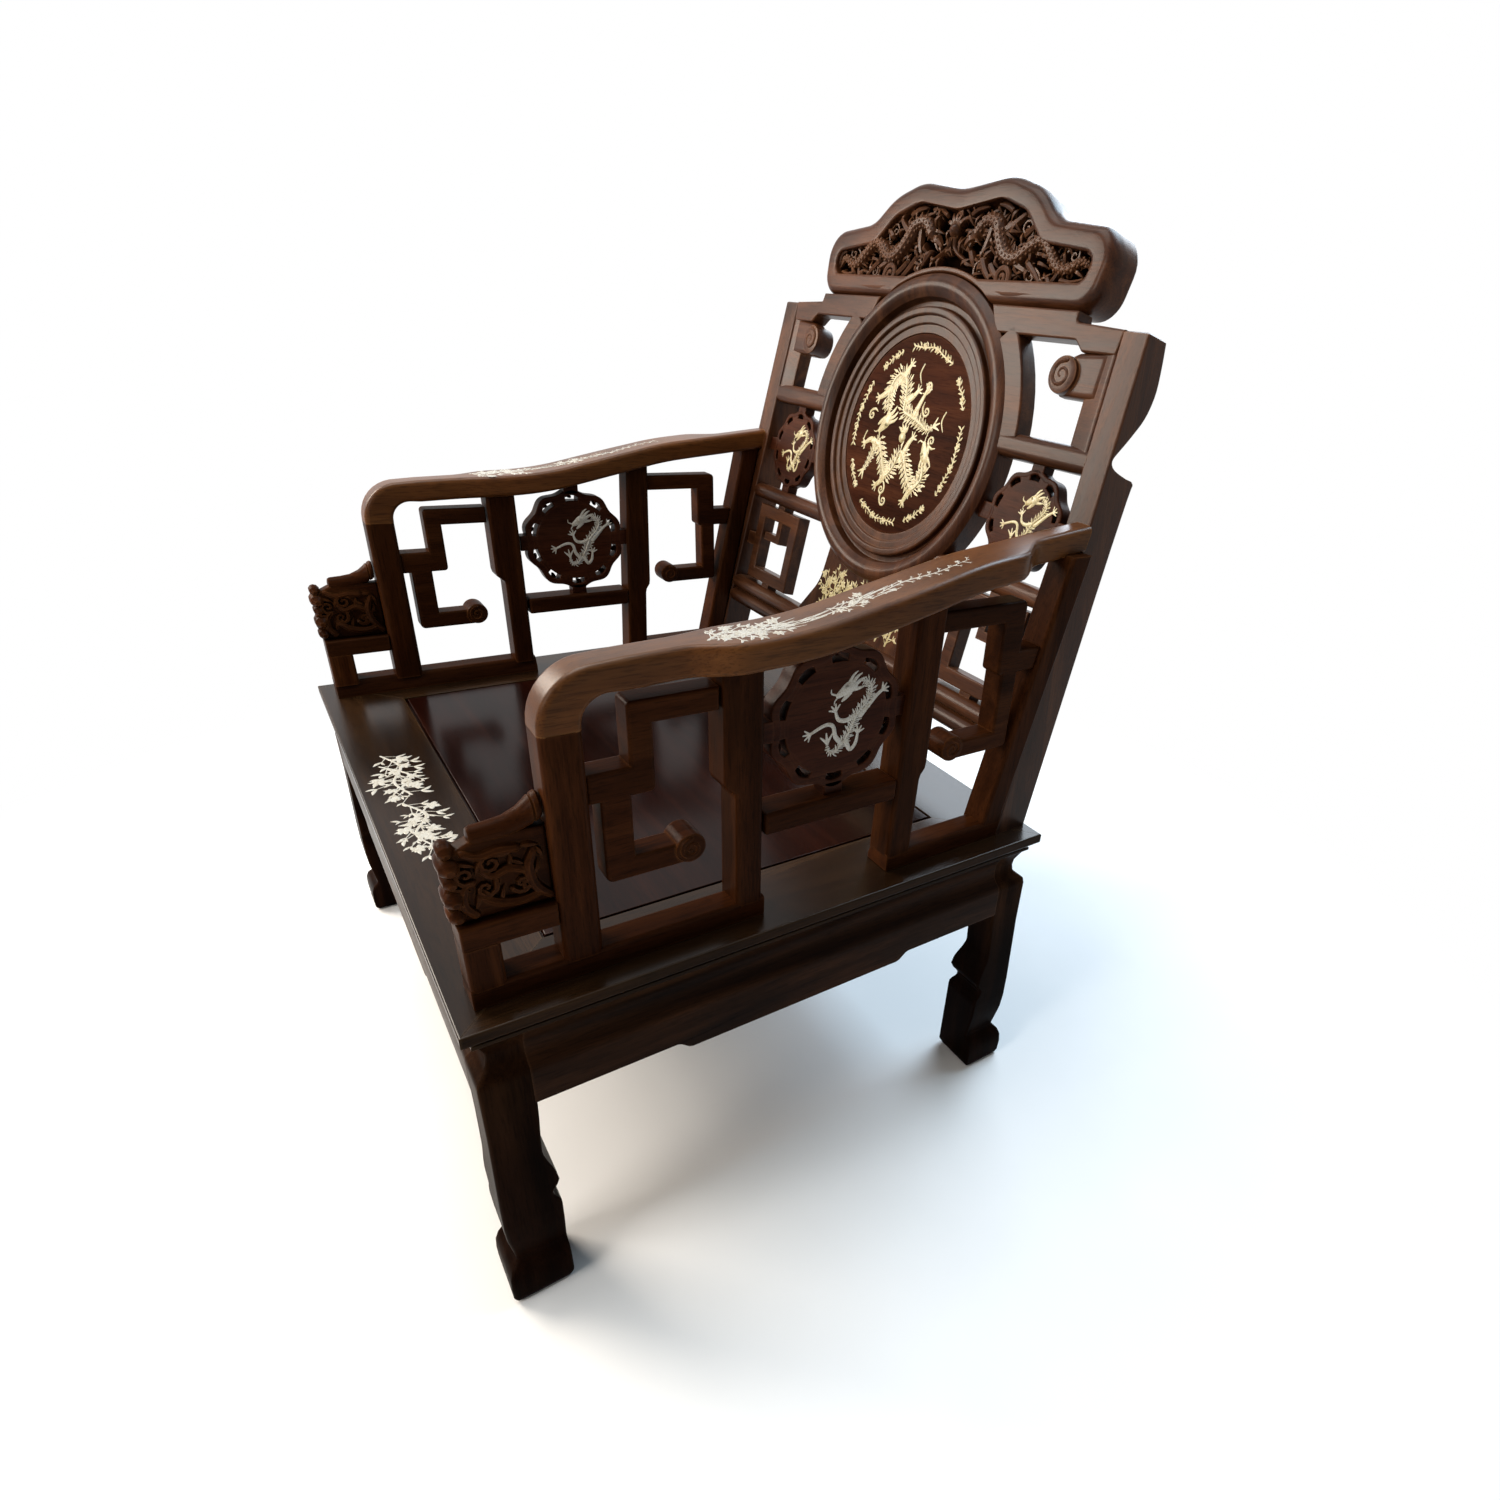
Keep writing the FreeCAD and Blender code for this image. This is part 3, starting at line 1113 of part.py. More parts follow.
def lower_fret():
    """Square fret ring with a hook inside, held by lugs to the stile and to the rails above and below."""
    low = BOTTOM_RAIL_TOP + LOWER_FRET_GAP
    high = LOWER_RAIL - LOWER_FRET_GAP
    out = stile_inner(LOWER_RAIL) - LOWER_FRET_INSET
    into = SPLAT_FOOT_HALF + SEAT_WIDTH * LOWER_FRET_SHARE
    bar = min(out - into, high - low) * LOWER_FRET_BAR_SHARE
    depth = BACK_RAIL_DEPTH - 2 * LOWER_FRET_SETBACK
    setback = BACK_RAIL_SETBACK + LOWER_FRET_SETBACK
    inner_depth = depth - 2 * LOWER_FRET_SETBACK
    inner_setback = setback + LOWER_FRET_SETBACK
    frame = back_board(rectangle(into, low, out, high), depth, setback)
    frame = frame.cut(back_board(rectangle(into + bar, low + bar, out - bar, high - bar), depth, setback))
    frame = eased(frame, 1, bar / 8)
    middle = (into + out) / 2
    hook_top = high - 2.1 * bar
    hook_low = high - 2.7 * bar
    hook_end = out - 1.4 * bar
    hook_back = middle - 0.6 * bar
    hook = back_board([
        (middle, high - bar), (middle, hook_top), (hook_end, hook_top),
        (hook_end, hook_low), (hook_back, hook_low), (hook_back, high - bar),
    ], inner_depth, inner_setback)
    half = bar / 2
    lug_low = (low + high) / 2 - half
    lug_high = lug_low + bar
    to_stile = [
        (out, lug_low), (stile_inner(lug_low), lug_low),
        (stile_inner(lug_high), lug_high), (out, lug_high),
    ]
    above = rectangle(middle - half, high, middle + half, LOWER_RAIL)
    below = rectangle(middle - half, BOTTOM_RAIL_TOP, middle + half, low)
    lugs = [back_board(lug, inner_depth, inner_setback) for lug in (above, below, to_stile)]
    return frame.multiFuse([hook] + lugs).removeSplitter()


def splat():
    """Flaring board between the ring and the bottom rail."""
    top = RING_CENTRE - RING_RADIUS * 0.8
    low = BOTTOM_RAIL_TOP
    waist = SPLAT_TOP_HALF + SPLAT_FLARE
    neck = low + (top - low) * SPLAT_WAIST_SHARE
    outline = [
        (-SPLAT_FOOT_HALF, low),
        (SPLAT_FOOT_HALF, low),
        (waist, neck, SPLAT_SWEEP),
        (SPLAT_TOP_HALF, top),
        (-SPLAT_TOP_HALF, top),
        (-waist, neck, SPLAT_SWEEP),
    ]
    return back_board(outline, SPLAT_THICKNESS, BACK_RAIL_SETBACK + SPLAT_SETBACK).cut(ring_cylinder())


def bottom_rail():
    """Double-beaded rail between the stiles."""
    low = BOTTOM_RAIL
    high = BOTTOM_RAIL_TOP
    outline = [
        (-stile_inner(low), low), (stile_inner(low), low),
        (stile_inner(high), high), (-stile_inner(high), high),
    ]
    rail = back_board(outline)
    middle = (low + high) / 2
    half = BOTTOM_RAIL_GROOVE / 2
    groove = rectangle(-HALF_WIDTH, middle - half, HALF_WIDTH, middle + half)
    return rail.cut(back_board(groove, BOTTOM_RAIL_GROOVE))


def back_tenon(x, height, length_x=0.0, length_h=0.0):
    """Square tenon of the upright back from a point, reaching across or up."""
    half = DOWEL / 2
    xs = sorted((x, x + length_x)) if length_x else (x - half, x + half)
    hs = sorted((height, height + length_h)) if length_h else (height - half, height + half)
    depth = BACK_FOOT + BACK_RAIL_SETBACK + BACK_RAIL_DEPTH / 2
    return box((xs[0], depth - half, SEAT_HEIGHT + hs[0]), (xs[1], depth + half, SEAT_HEIGHT + hs[1]))


def back():
    """Whole back built upright on the left side and in the middle, jointed, mirrored and raked."""
    parts["stile_left"] = upright_stile()
    parts["ring"] = ring()
    parts["top_rail_left"] = top_rail()
    parts["upper_side_rail_left"] = side_rail(UPPER_RAIL)
    parts["lower_side_rail_left"] = side_rail(LOWER_RAIL)
    parts["scroll_bracket_left"] = scroll_bracket()
    parts["side_medallion_left"] = side_medallion()
    parts["lower_fret_left"] = lower_fret()
    parts["crest"] = crest()
    parts["splat"] = splat()
    parts["bottom_rail"] = bottom_rail()
    panel_at = V(0, BACK_FOOT + PANEL_RECESS, SEAT_HEIGHT + RING_CENTRE)
    panel_radius = RING_INNER + ROUND_PANEL_LIP
    parts["round_panel"] = Part.makeCylinder(panel_radius, ROUND_PANEL_THICKNESS, panel_at, V(0, 1, 0))
    back_joints()
    sides = [n for n in parts if n.endswith("_left") and n.startswith(
        ("stile", "top_rail", "upper_side", "lower_side", "scroll", "side_medallion", "lower_fret"))]
    for name in sides:
        parts[name] = raked(parts[name])
        parts[name.replace("_left", "_right")] = mirrored(parts[name])
    for name in ("ring", "round_panel", "crest", "splat", "bottom_rail"):
        parts[name] = raked(parts[name])
    stile_feet()


def back_joints():
    """Tenons of the rails in the stiles and the ring, and of the splat and crest in their neighbours."""
    length = TENON_LENGTH
    for name, height in (
        ("top_rail_left", TOP_RAIL + TOP_RAIL_DROP * 0.58),
        ("upper_side_rail_left", UPPER_RAIL + SIDE_RAIL_HEIGHT / 2),
        ("lower_side_rail_left", LOWER_RAIL + SIDE_RAIL_HEIGHT / 2),
    ):
        tenon(name, "stile_left", back_tenon(stile_inner(height) - length, height, length_x=2 * length))
    middle = BOTTOM_RAIL + DOWEL
    block = back_tenon(stile_inner(middle) - length, middle, length_x=2 * length)
    tenon("bottom_rail", "stile_left", block)
    parts["bottom_rail"] = parts["bottom_rail"].fuse(mirrored(block)).removeSplitter()
    for name, height in (
        ("top_rail_left", CREST_BASE - DOWEL),
        ("upper_side_rail_left", UPPER_RAIL + SIDE_RAIL_HEIGHT / 2),
        ("lower_side_rail_left", LOWER_RAIL + SIDE_RAIL_HEIGHT / 2),
    ):
        edge = math.sqrt(RING_RADIUS ** 2 - (RING_CENTRE - height) ** 2)
        block = back_tenon(edge + length, height, length_x=-1.7 * length)
        tenon(name, "ring", block)
        parts["ring"] = parts["ring"].cut(mirrored(block))
    for x in (-SPLAT_TOP_HALF / 2, SPLAT_TOP_HALF / 2):
        edge = RING_CENTRE - math.sqrt(RING_RADIUS ** 2 - x ** 2)
        tenon("splat", "ring", back_tenon(x, edge - length, length_h=1.7 * length))
        tenon("splat", "bottom_rail", back_tenon(x, BOTTOM_RAIL_TOP, length_h=-length))
    rail_x = CREST_HALF_WIDTH * 0.7
    block = back_tenon(rail_x, CREST_BASE + length, length_h=-2 * length)
    tenon("crest", "top_rail_left", block)
    parts["crest"] = parts["crest"].fuse(mirrored(block)).removeSplitter()


def stile_feet():
    """Cuts the raked stiles level at the seat and tenons them into the rear seat rail."""
    below = box((-HALF_WIDTH, -SEAT_DEPTH, 0), (HALF_WIDTH, SEAT_DEPTH, SEAT_HEIGHT))
    inner = stile_inner(0)
    y0 = BACK_FOOT + STILE_DEPTH * 0.45
    y1 = BACK_FOOT + STILE_DEPTH * 0.85
    block = box(
        (inner + TENON_SHOULDER, y0, SEAT_HEIGHT - TENON_LENGTH * 1.43),
        (inner + STILE_WIDTH / 2, y1, SEAT_HEIGHT + TENON_LENGTH * 0.43),
    )
    for side, foot in (("left", block), ("right", mirrored(block))):
        parts["stile_" + side] = parts["stile_" + side].cut(below)
        tenon("stile_" + side, "seat_rail_rear", foot)


# Shell inlay let into the wood


def band(radius, width, first, last, place, direction):
    """Flat band along an arc, between two angles in degrees."""
    inner = radius - width / 2
    outer = radius + width / 2
    angles = [math.radians(a) for a in (first, (first + last) / 2, last)]
    rim = [place(V(outer * math.cos(a), outer * math.sin(a), 0)) for a in angles]
    core = [place(V(inner * math.cos(a), inner * math.sin(a), 0)) for a in reversed(angles)]
    edges = [
        Part.Arc(*rim).toShape(),
        Part.LineSegment(rim[2], core[0]).toShape(),
        Part.Arc(*core).toShape(),
        Part.LineSegment(core[2], rim[0]).toShape(),
    ]
    return Part.Face(Part.Wire(edges)).extrude(direction)


def dragon(size, place, direction):
    """Body of a coiling dragon, reduced to two opposed arcs that form an S."""
    radius = size / 2
    width = size * INLAY_SHARE
    upper = band(radius, width, -80, 170, lambda v: place(V(v.x, v.y + radius, 0)), direction)
    lower = band(radius, width, 100, 350, lambda v: place(V(v.x, v.y - radius, 0)), direction)
    return upper.fuse(lower).removeSplitter()


def inlay():
    """Garland and two dragons on the round panel, and one dragon on each medallion's shown faces."""
    pieces = []
    depth = BACK_FOOT + PANEL_RECESS
    into = V(0, INLAY_DEPTH, 0)
    centre = lambda v: V(v.x, depth, SEAT_HEIGHT + RING_CENTRE + v.y)
    garland = RING_INNER * GARLAND_SHARE
    half = GARLAND_SPAN / 2
    middles = [360.0 * i / GARLAND_COUNT for i in range(GARLAND_COUNT)]
    on_panel = [band(garland, GARLAND_WIDTH, a - half, a + half, centre, into) for a in middles]
    for share_x, share_z in ((-0.26, 0.20), (0.29, -0.23)):
        beast_x = share_x * RING_INNER
        beast_z = share_z * RING_INNER
        place = lambda v: centre(V(v.x + beast_x, v.y + beast_z, 0))
        on_panel.append(dragon(RING_INNER * DRAGON_ON_PANEL, place, into))
    for piece in on_panel:
        turned = raked(piece)
        parts["round_panel"] = parts["round_panel"].cut(turned)
        pieces.append(turned)
    x, height, radius = side_medallion_place()
    setback = BACK_RAIL_SETBACK + (BACK_RAIL_DEPTH - SIDE_MEDALLION_THICKNESS) / 2
    place = lambda v: V(x + v.x, BACK_FOOT + setback, SEAT_HEIGHT + height + v.y)
    let_in("side_medallion", raked(dragon(radius * DRAGON_ON_MEDALLION, place, into)), pieces)
    y, z, radius = medallion_place()
    for sign in (1, -1):
        face = ARM_MIDDLE + sign * MEDALLION_THICKNESS / 2
        place = lambda v: V(face, y + v.x, z + v.y)
        beast = dragon(radius * DRAGON_ON_MEDALLION, place, V(-sign * INLAY_DEPTH, 0, 0))
        let_in("arm_medallion", beast, pieces)
    parts["pearl_inlay"] = Part.makeCompound(pieces)


def let_in(name, piece, pieces):
    """Lets one inlay and its mirror image into the left and right pieces of a pair."""
    for side, shape in (("left", piece), ("right", mirrored(piece))):
        parts[name + "_" + side] = parts[name + "_" + side].cut(shape)
        pieces.append(shape)


def export():
    """Moves the chair over its origin and writes each piece."""
    os.makedirs("parts", exist_ok=True)
    whole = Part.makeCompound(list(parts.values())).optimalBoundingBox()
    shift = V(0, -(whole.YMin + whole.YMax) / 2, 0)
    for name, shape in parts.items():
        moved = shape.copy()
        moved.translate(shift)
        moved.exportStep("parts/" + name + ".step")
        print(name, len(moved.Solids), round(moved.Volume / 1000.0, 2), moved.isValid())
    size = [round(length, 1) for length in (whole.XLength, whole.YLength, whole.ZLength)]
    print("box", size, "shift", round(shift.y, 2))


seat_rails()
aprons()
legs()
arms()
back()
inlay()
export()
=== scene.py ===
import random
from math import acos, atan2, cos, hypot, pi, radians, sin, sqrt, tan

import bmesh
import bpy
from mathutils import Matrix, Vector


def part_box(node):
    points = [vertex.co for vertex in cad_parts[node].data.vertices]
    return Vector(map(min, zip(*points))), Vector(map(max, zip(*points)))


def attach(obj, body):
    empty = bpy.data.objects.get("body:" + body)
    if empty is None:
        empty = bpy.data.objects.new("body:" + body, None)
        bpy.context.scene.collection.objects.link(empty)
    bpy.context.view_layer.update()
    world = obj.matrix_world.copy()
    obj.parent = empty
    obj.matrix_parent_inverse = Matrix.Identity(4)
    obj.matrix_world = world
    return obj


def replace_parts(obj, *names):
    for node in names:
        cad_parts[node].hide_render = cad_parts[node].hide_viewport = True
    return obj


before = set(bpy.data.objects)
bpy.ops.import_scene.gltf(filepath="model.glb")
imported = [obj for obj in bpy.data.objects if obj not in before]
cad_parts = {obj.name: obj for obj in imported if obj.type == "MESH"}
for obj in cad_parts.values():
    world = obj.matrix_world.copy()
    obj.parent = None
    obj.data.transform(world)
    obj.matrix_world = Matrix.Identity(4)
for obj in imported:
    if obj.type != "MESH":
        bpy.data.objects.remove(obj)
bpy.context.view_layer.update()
scene = bpy.context.scene

MM = 0.001
seat_low, seat_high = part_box("seat_panel")
CHAIR_Y = (seat_low.y + seat_high.y) / 2
SIDES = ((1, "left"), (-1, "right"))

# Sizes shared with the solid model, in millimetres
SEAT_TOP = 372.0
SEAT_HALF_WIDTH, SEAT_HALF_DEPTH = 415.0, 336.0
BACK_FOOT = 283.0
RAKE = radians(13.2)
BACK_RAIL = 26.0
RING_CENTRE, RING_RADIUS = 412.0, 197.0
PANEL_FACE = 11.0
SPLAT_FACE = 8.0
CREST_BASE = 581.0
SIDE_MEDALLION_X, SIDE_MEDALLION_W = 262.0, 353.5
SIDE_MEDALLION_RADIUS, SIDE_MEDALLION_FACE, SIDE_MEDALLION_THICKNESS = 60.0, 8.0, 18.0
ARM_MIDDLE, ARM_HALF = 370.0, 18.0
MEDALLION_Y, MEDALLION_Z = 43.2, 570.2
MEDALLION_RADIUS, MEDALLION_HALF = 76.0, 10.0


def chair(x, y, z):
    """Point in millimetres from the floor under the middle of the seat."""
    return Vector((x * MM, y * MM + CHAIR_Y, z * MM))


def back(x, n, w):
    """Point of the raked back: across, behind its front face, and up the slope from the seat."""
    y = BACK_FOOT + n * cos(RAKE) + w * sin(RAKE)
    z = SEAT_TOP + w * cos(RAKE) - n * sin(RAKE)
    return chair(x, y, z)


def turns(count):
    """Angles that share a full turn."""
    return [2 * pi * k / count for k in range(count)]


def around(a, b, reach, angle):
    """Point at a distance from another in the direction of an angle."""
    return a + reach * cos(angle), b + reach * sin(angle)


# Materials


def feed(tree, socket, value):
    """Link a socket to another node's output, or set it to a plain value."""
    if isinstance(value, bpy.types.NodeSocket):
        tree.links.new(value, socket)
    else:
        socket.default_value = value


def wire(tree, node, *sources, **settings):
    """Fill a node's inputs in their order or by name, and set its properties."""
    for socket, value in zip(node.inputs, sources):
        feed(tree, socket, value)
    for key, value in settings.items():
        if hasattr(node, key):
            setattr(node, key, value)
        else:
            feed(tree, node.inputs[key.replace("_", " ")], value)
    return node


def add(tree, kind, *sources, **settings):
    """New shader node, filled and set."""
    return wire(tree, tree.nodes.new("ShaderNode" + kind), *sources, **settings)


def new_material(name):
    """Material with its node tree, its shader and the object's own coordinates."""
    material = bpy.data.materials.new(name)
    material.use_nodes = True
    tree = material.node_tree
    return material, tree, tree.nodes["Principled BSDF"], add(tree, "TexCoord").outputs["Object"]


def ramp(tree, source, stops):
    """Colour ramp over a value, from (place, colour) stops."""
    made = add(tree, "ValToRGB", source)
    elements = made.color_ramp.elements
    stops = list(stops)
    while len(elements) < len(stops):
        elements.new(0.5)
    for element, (place, colour) in zip(elements, stops):
        element.position = place
        element.color = (*colour[:3], 1.0)
    return made.outputs["Color"]


def grey(value):
    return (value, value, value, 1.0)


def mix(tree, factor, first, second, blend="MIX"):
    made = add(tree, "Mix", data_type="RGBA", blend_type=blend)
    for index, value in ((0, factor), (6, first), (7, second)):
        feed(tree, made.inputs[index], value)
    return made.outputs[2]


def stretched_noise(tree, place, along, across, axis, detail, distortion=0.0):
    """Noise drawn out along the grain."""
    scale = [along if name == axis else across for name in "XYZ"]
    vector = add(tree, "Mapping", Vector=place, Scale=scale).outputs["Vector"]
    noise = add(tree, "TexNoise", Vector=vector, Scale=1.0, Detail=detail, Distortion=distortion)
    return wire(tree, noise, Roughness=0.6).outputs["Fac"]


# Dark, middle and light streaks of the wood: plain, rubbed by hands and painted lighter as if lit from
# above, red, the round panel, the seat's deep brown, the arms, the seat's frame, the skirt under it, painted
# shade that darkens the legs near the floor, and painted shade for the dark ground of the carving
TONES = {
    "plain": [(0.018, 0.0066, 0.0030), (0.044, 0.0175, 0.0075), (0.092, 0.0400, 0.0170)],
    "rubbed": [(0.066, 0.0255, 0.0078), (0.100, 0.0415, 0.0125), (0.150, 0.0670, 0.0210)],
    "red": [(0.020, 0.0056, 0.0025), (0.036, 0.0112, 0.0050), (0.060, 0.0220, 0.0100)],
    "panel": [(0.015, 0.0044, 0.0021), (0.034, 0.0112, 0.0052), (0.062, 0.0235, 0.0110)],
    "deep": [(0.006, 0.0015, 0.0009), (0.010, 0.0026, 0.0015), (0.018, 0.0054, 0.0029)],
    "arm": [(0.018, 0.0059, 0.0019), (0.033, 0.0114, 0.0037), (0.060, 0.0225, 0.0074)],
    "seat": [(0.008, 0.0036, 0.0014), (0.016, 0.0080, 0.0032), (0.030, 0.0165, 0.0066)],
    "skirt": [(0.008, 0.0034, 0.0015), (0.020, 0.0090, 0.0039), (0.044, 0.0205, 0.0092)],
    "dim": [(0.003, 0.0013, 0.0007), (0.007, 0.0031, 0.0017), (0.016, 0.0072, 0.0039)],
    "hollow": [(0.002, 0.0010, 0.0007), (0.004, 0.0020, 0.0013), (0.008, 0.0040, 0.0026)],
}
STREAK_STOPS = (0.30, 0.50, 0.72)
GLOSS = {
    "plain": 0.10, "rubbed": 0.06, "red": 0.03, "panel": 0.005, "deep": 0.005,
    "arm": 0.014, "seat": 0.025, "skirt": 0.02, "dim": 0.006, "hollow": 0.0,
}
# Least and most roughness
ROUGH = {"deep": (0.12, 0.20), "seat": (0.20, 0.30)}
USUAL_ROUGH = (0.27, 0.40)
# Polish on upper faces, where sleeves and cushions rub, and how soft its reflections are
POLISH = {"rubbed": 0.45, "seat": 0.45, "deep": 0.36}
POLISH_ROUGH = {"rubbed": 0.28, "seat": 0.24, "deep": 0.17}
USUAL_COAT_ROUGH = 0.12
COAT_SHARE = 0.3
made_woods = {}


def wood(axis, tone="plain", carved=False):
    key = (axis, tone, carved)
    if key not in made_woods:
        made_woods[key] = rosewood(axis, tone, carved)
    return made_woods[key]


def rosewood(axis, tone, carved):
    """Oiled rosewood: dark streaks along the grain, fine pores, patches of red, edges painted lighter as
    worn and highlit, painted shade in the recesses of carvings, and painted shade low on the legs.
    """
    smooth, dull = ROUGH.get(tone, USUAL_ROUGH)
    name = "_".join(["rosewood", tone, axis.lower()] + ["carved"] * carved)
    material, tree, shader, place = new_material(name)
    streaks = stretched_noise(tree, place, 2.5, 34.0, axis, 8.0, 0.8)
    pores = stretched_noise(tree, place, 40.0, 620.0, axis, 3.0)
    patches = stretched_noise(tree, place, 4.0, 7.0, axis, 2.0)
    colour = ramp(tree, streaks, zip(STREAK_STOPS, TONES[tone]))
    if tone == "dim":
        # Painted shade: the legs are darker near the floor and go over into the skirt's tone higher up
        height = add(tree, "SeparateXYZ", place).outputs["Z"]
        rise = add(tree, "MapRange", height, From_Min=0.19, From_Max=0.29)
        upper = ramp(tree, streaks, zip(STREAK_STOPS, TONES["skirt"]))
        colour = mix(tree, rise.outputs["Result"], colour, upper)
    red = ramp(tree, patches, [(0.35, (0.70, 0.62, 0.58)), (0.68, (1.25, 1.02, 0.92))])
    colour = mix(tree, 1.0, colour, red, "MULTIPLY")
    pore_dark = ramp(tree, pores, [(0.36, grey(0.45)), (0.50, grey(1.0))])
    colour = mix(tree, 0.7, colour, pore_dark, "MULTIPLY")
    # Edges painted lighter: partly wear, partly painted highlight; the same mask makes them rougher
    bevel = add(tree, "Bevel", samples=4, Radius=0.004)
    normal = add(tree, "NewGeometry").outputs["Normal"]
    dot = add(tree, "VectorMath", bevel.outputs["Normal"], normal, operation="DOT_PRODUCT")
    wear_and_edge_highlight = ramp(tree, dot.outputs["Value"], [(0.78, grey(1.0)), (0.985, grey(0.0))])
    breakup = ramp(tree, patches, [(0.30, grey(0.25)), (0.70, grey(1.0))])
    wear_and_edge_highlight = mix(tree, 1.0, wear_and_edge_highlight, breakup, "MULTIPLY")
    rubbed = [1.5 * channel for channel in TONES[tone][-1]]
    colour = mix(tree, wear_and_edge_highlight, colour, (*rubbed, 1.0))
    if carved:
        # Painted shade in the recesses of the carving, darkened by ambient occlusion
        shade = add(tree, "AmbientOcclusion", samples=4, Distance=0.012)
        painted_recess_shade = ramp(tree, shade.outputs["AO"], [(0.25, grey(0.22)), (0.85, grey(1.0))])
        colour = mix(tree, 1.0, colour, painted_recess_shade, "MULTIPLY")
    rough = ramp(tree, streaks, [(0.30, grey(smooth)), (0.75, grey(dull))])
    bump = add(tree, "Bump", Strength=0.16, Distance=0.0006, Height=mix(tree, 0.6, streaks, pore_dark))
    coat = COAT_SHARE * GLOSS[tone]
    wire(
        tree, shader, Base_Color=colour, Roughness=mix(tree, wear_and_edge_highlight, rough, grey(0.34)),
        Normal=bump.outputs["Normal"], Specular_IOR_Level=GLOSS[tone],
        Coat_Weight=coat, Coat_Roughness=POLISH_ROUGH.get(tone, USUAL_COAT_ROUGH),
    )
    if tone in POLISH:
        up = add(tree, "SeparateXYZ", normal).outputs["Z"]
        polish = add(tree, "MapRange", up, From_Min=0.55, From_Max=0.95, To_Min=coat, To_Max=POLISH[tone])
        wire(tree, shader, Coat_Weight=polish.outputs["Result"])
    return material


def shell(name, tints):
    """Mother-of-pearl: cloudy tints, fine growth lines and engraved hatching."""
    material, tree, shader, place = new_material(name)
    clouds = stretched_noise(tree, place, 130.0, 170.0, "Z", 4.0, 1.2)
    colour = ramp(tree, clouds, zip((0.28, 0.45, 0.58, 0.75), tints))
    cells = add(tree, "TexVoronoi", feature="DISTANCE_TO_EDGE", Vector=place, Scale=560.0)
    engraved = ramp(tree, cells.outputs["Distance"], [(0.03, (0.50, 0.38, 0.24)), (0.13, grey(1.0))])
    bump = add(tree, "Bump", Strength=0.25, Distance=0.0004, Height=engraved)
    wire(
        tree, shader, Base_Color=mix(tree, 0.6, colour, engraved, "MULTIPLY"),
        Roughness=ramp(tree, clouds, [(0.3, grey(0.22)), (0.7, grey(0.42))]),
        Normal=bump.outputs["Normal"], Coat_Weight=0.15, Coat_Roughness=0.1,
    )
    return material


PEARL_CREAM = shell("pearl_cream", [
    (0.36, 0.27, 0.11), (0.45, 0.38, 0.18), (0.48, 0.43, 0.24), (0.38, 0.35, 0.17),
])
PEARL_WHITE = shell("pearl_white", [
    (0.40, 0.37, 0.30), (0.50, 0.48, 0.42), (0.52, 0.51, 0.47), (0.43, 0.45, 0.42),
])


# Mesh building


def spline(points, steps):
    """Smooth line through points of any number of values."""
    padded = [points[0]] + list(points) + [points[-1]]
    line = []
    for i in range(1, len(padded) - 2):
        p0, p1, p2, p3 = padded[i - 1:i + 3]
        for k in range(steps):
            t = k / steps
            line.append(tuple(
                0.5 * (2 * b + (c - a) * t + (2 * a - 5 * b + 4 * c - d) * t * t
                       + (3 * b - a - 3 * c + d) * t ** 3)
                for a, b, c, d in zip(p0, p1, p2, p3)
            ))
    line.append(tuple(points[-1]))
    return line


def straight_between(knots, at):
    """Value on straight lines between knots."""
    for (p0, v0), (p1, v1) in zip(knots, knots[1:]):
        if at <= p1:
            return v0 + (v1 - v0) * (at - p0) / (p1 - p0)
    return knots[-1][1]


def eased_between(knots, at):
    """Value between knots, easing in and out of each."""
    for (p0, v0), (p1, v1) in zip(knots, knots[1:]):
        if at <= p1:
            t = max(0.0, (at - p0) / (p1 - p0))
            return v0 + (v1 - v0) * t * t * (3 - 2 * t)
    return knots[-1][1]


def rounded(corners, steps):
    """Polyline through (a, b) or (a, b, radius) corners of a closed outline."""
    line = []
    for i, corner in enumerate(corners):
        here = Vector(corner[:2])
        if len(corner) < 3:
            line.append(tuple(here))
            continue
        to_last = (Vector(corners[i - 1][:2]) - here).normalized()
        to_next = (Vector(corners[(i + 1) % len(corners)][:2]) - here).normalized()
        half = to_last.angle(to_next) / 2
        centre = here + (to_last + to_next).normalized() * (corner[2] / sin(half))
        reach = corner[2] / tan(half)
        first = here + to_last * reach - centre
        sweep = first.angle_signed(here + to_next * reach - centre)
        for k in range(steps + 1):
            line.append(tuple(centre + Matrix.Rotation(-sweep * k / steps, 2) @ first))
    return line


def soft_box(a0, b0, a1, b1, radii, steps):
    """Rectangle with a rounding for each corner."""
    corners = ((a0, b0), (a1, b0), (a1, b1), (a0, b1))
    return rounded([(*corner, radius) for corner, radius in zip(corners, radii)], steps)


def shrunk(outline, inset):
    """Closed outline moved inwards by a small inset."""
    area = sum(p[0] * q[1] - q[0] * p[1] for p, q in zip(outline, outline[1:] + outline[:1]))
    sign = 1 if area > 0 else -1
    moved = []
    for i, point in enumerate(outline):
        last, after = Vector(outline[i - 1]), Vector(outline[(i + 1) % len(outline)])
        here = Vector(point)
        entry, leave = (here - last).normalized(), (after - here).normalized()
        across = Vector((-entry.y - leave.y, entry.x + leave.x)) * sign
        moved.append(tuple(here + across * inset / max(0.2, 1 + entry.dot(leave))))
    return moved


def beyond(tip, inner):
    """Narrow point a little past the end of a stroke."""
    (a0, b0, r0), (a1, b1, _) = tip, inner
    gap = hypot(a1 - a0, b1 - b0) or 1.0
    return a0 - (a1 - a0) / gap * r0 * 0.7, b0 - (b1 - b0) / gap * r0 * 0.7, r0 * 0.4


def placed(name, data):
    """New object in the scene."""
    made = bpy.data.objects.new(name, data)
    scene.collection.objects.link(made)
    return made


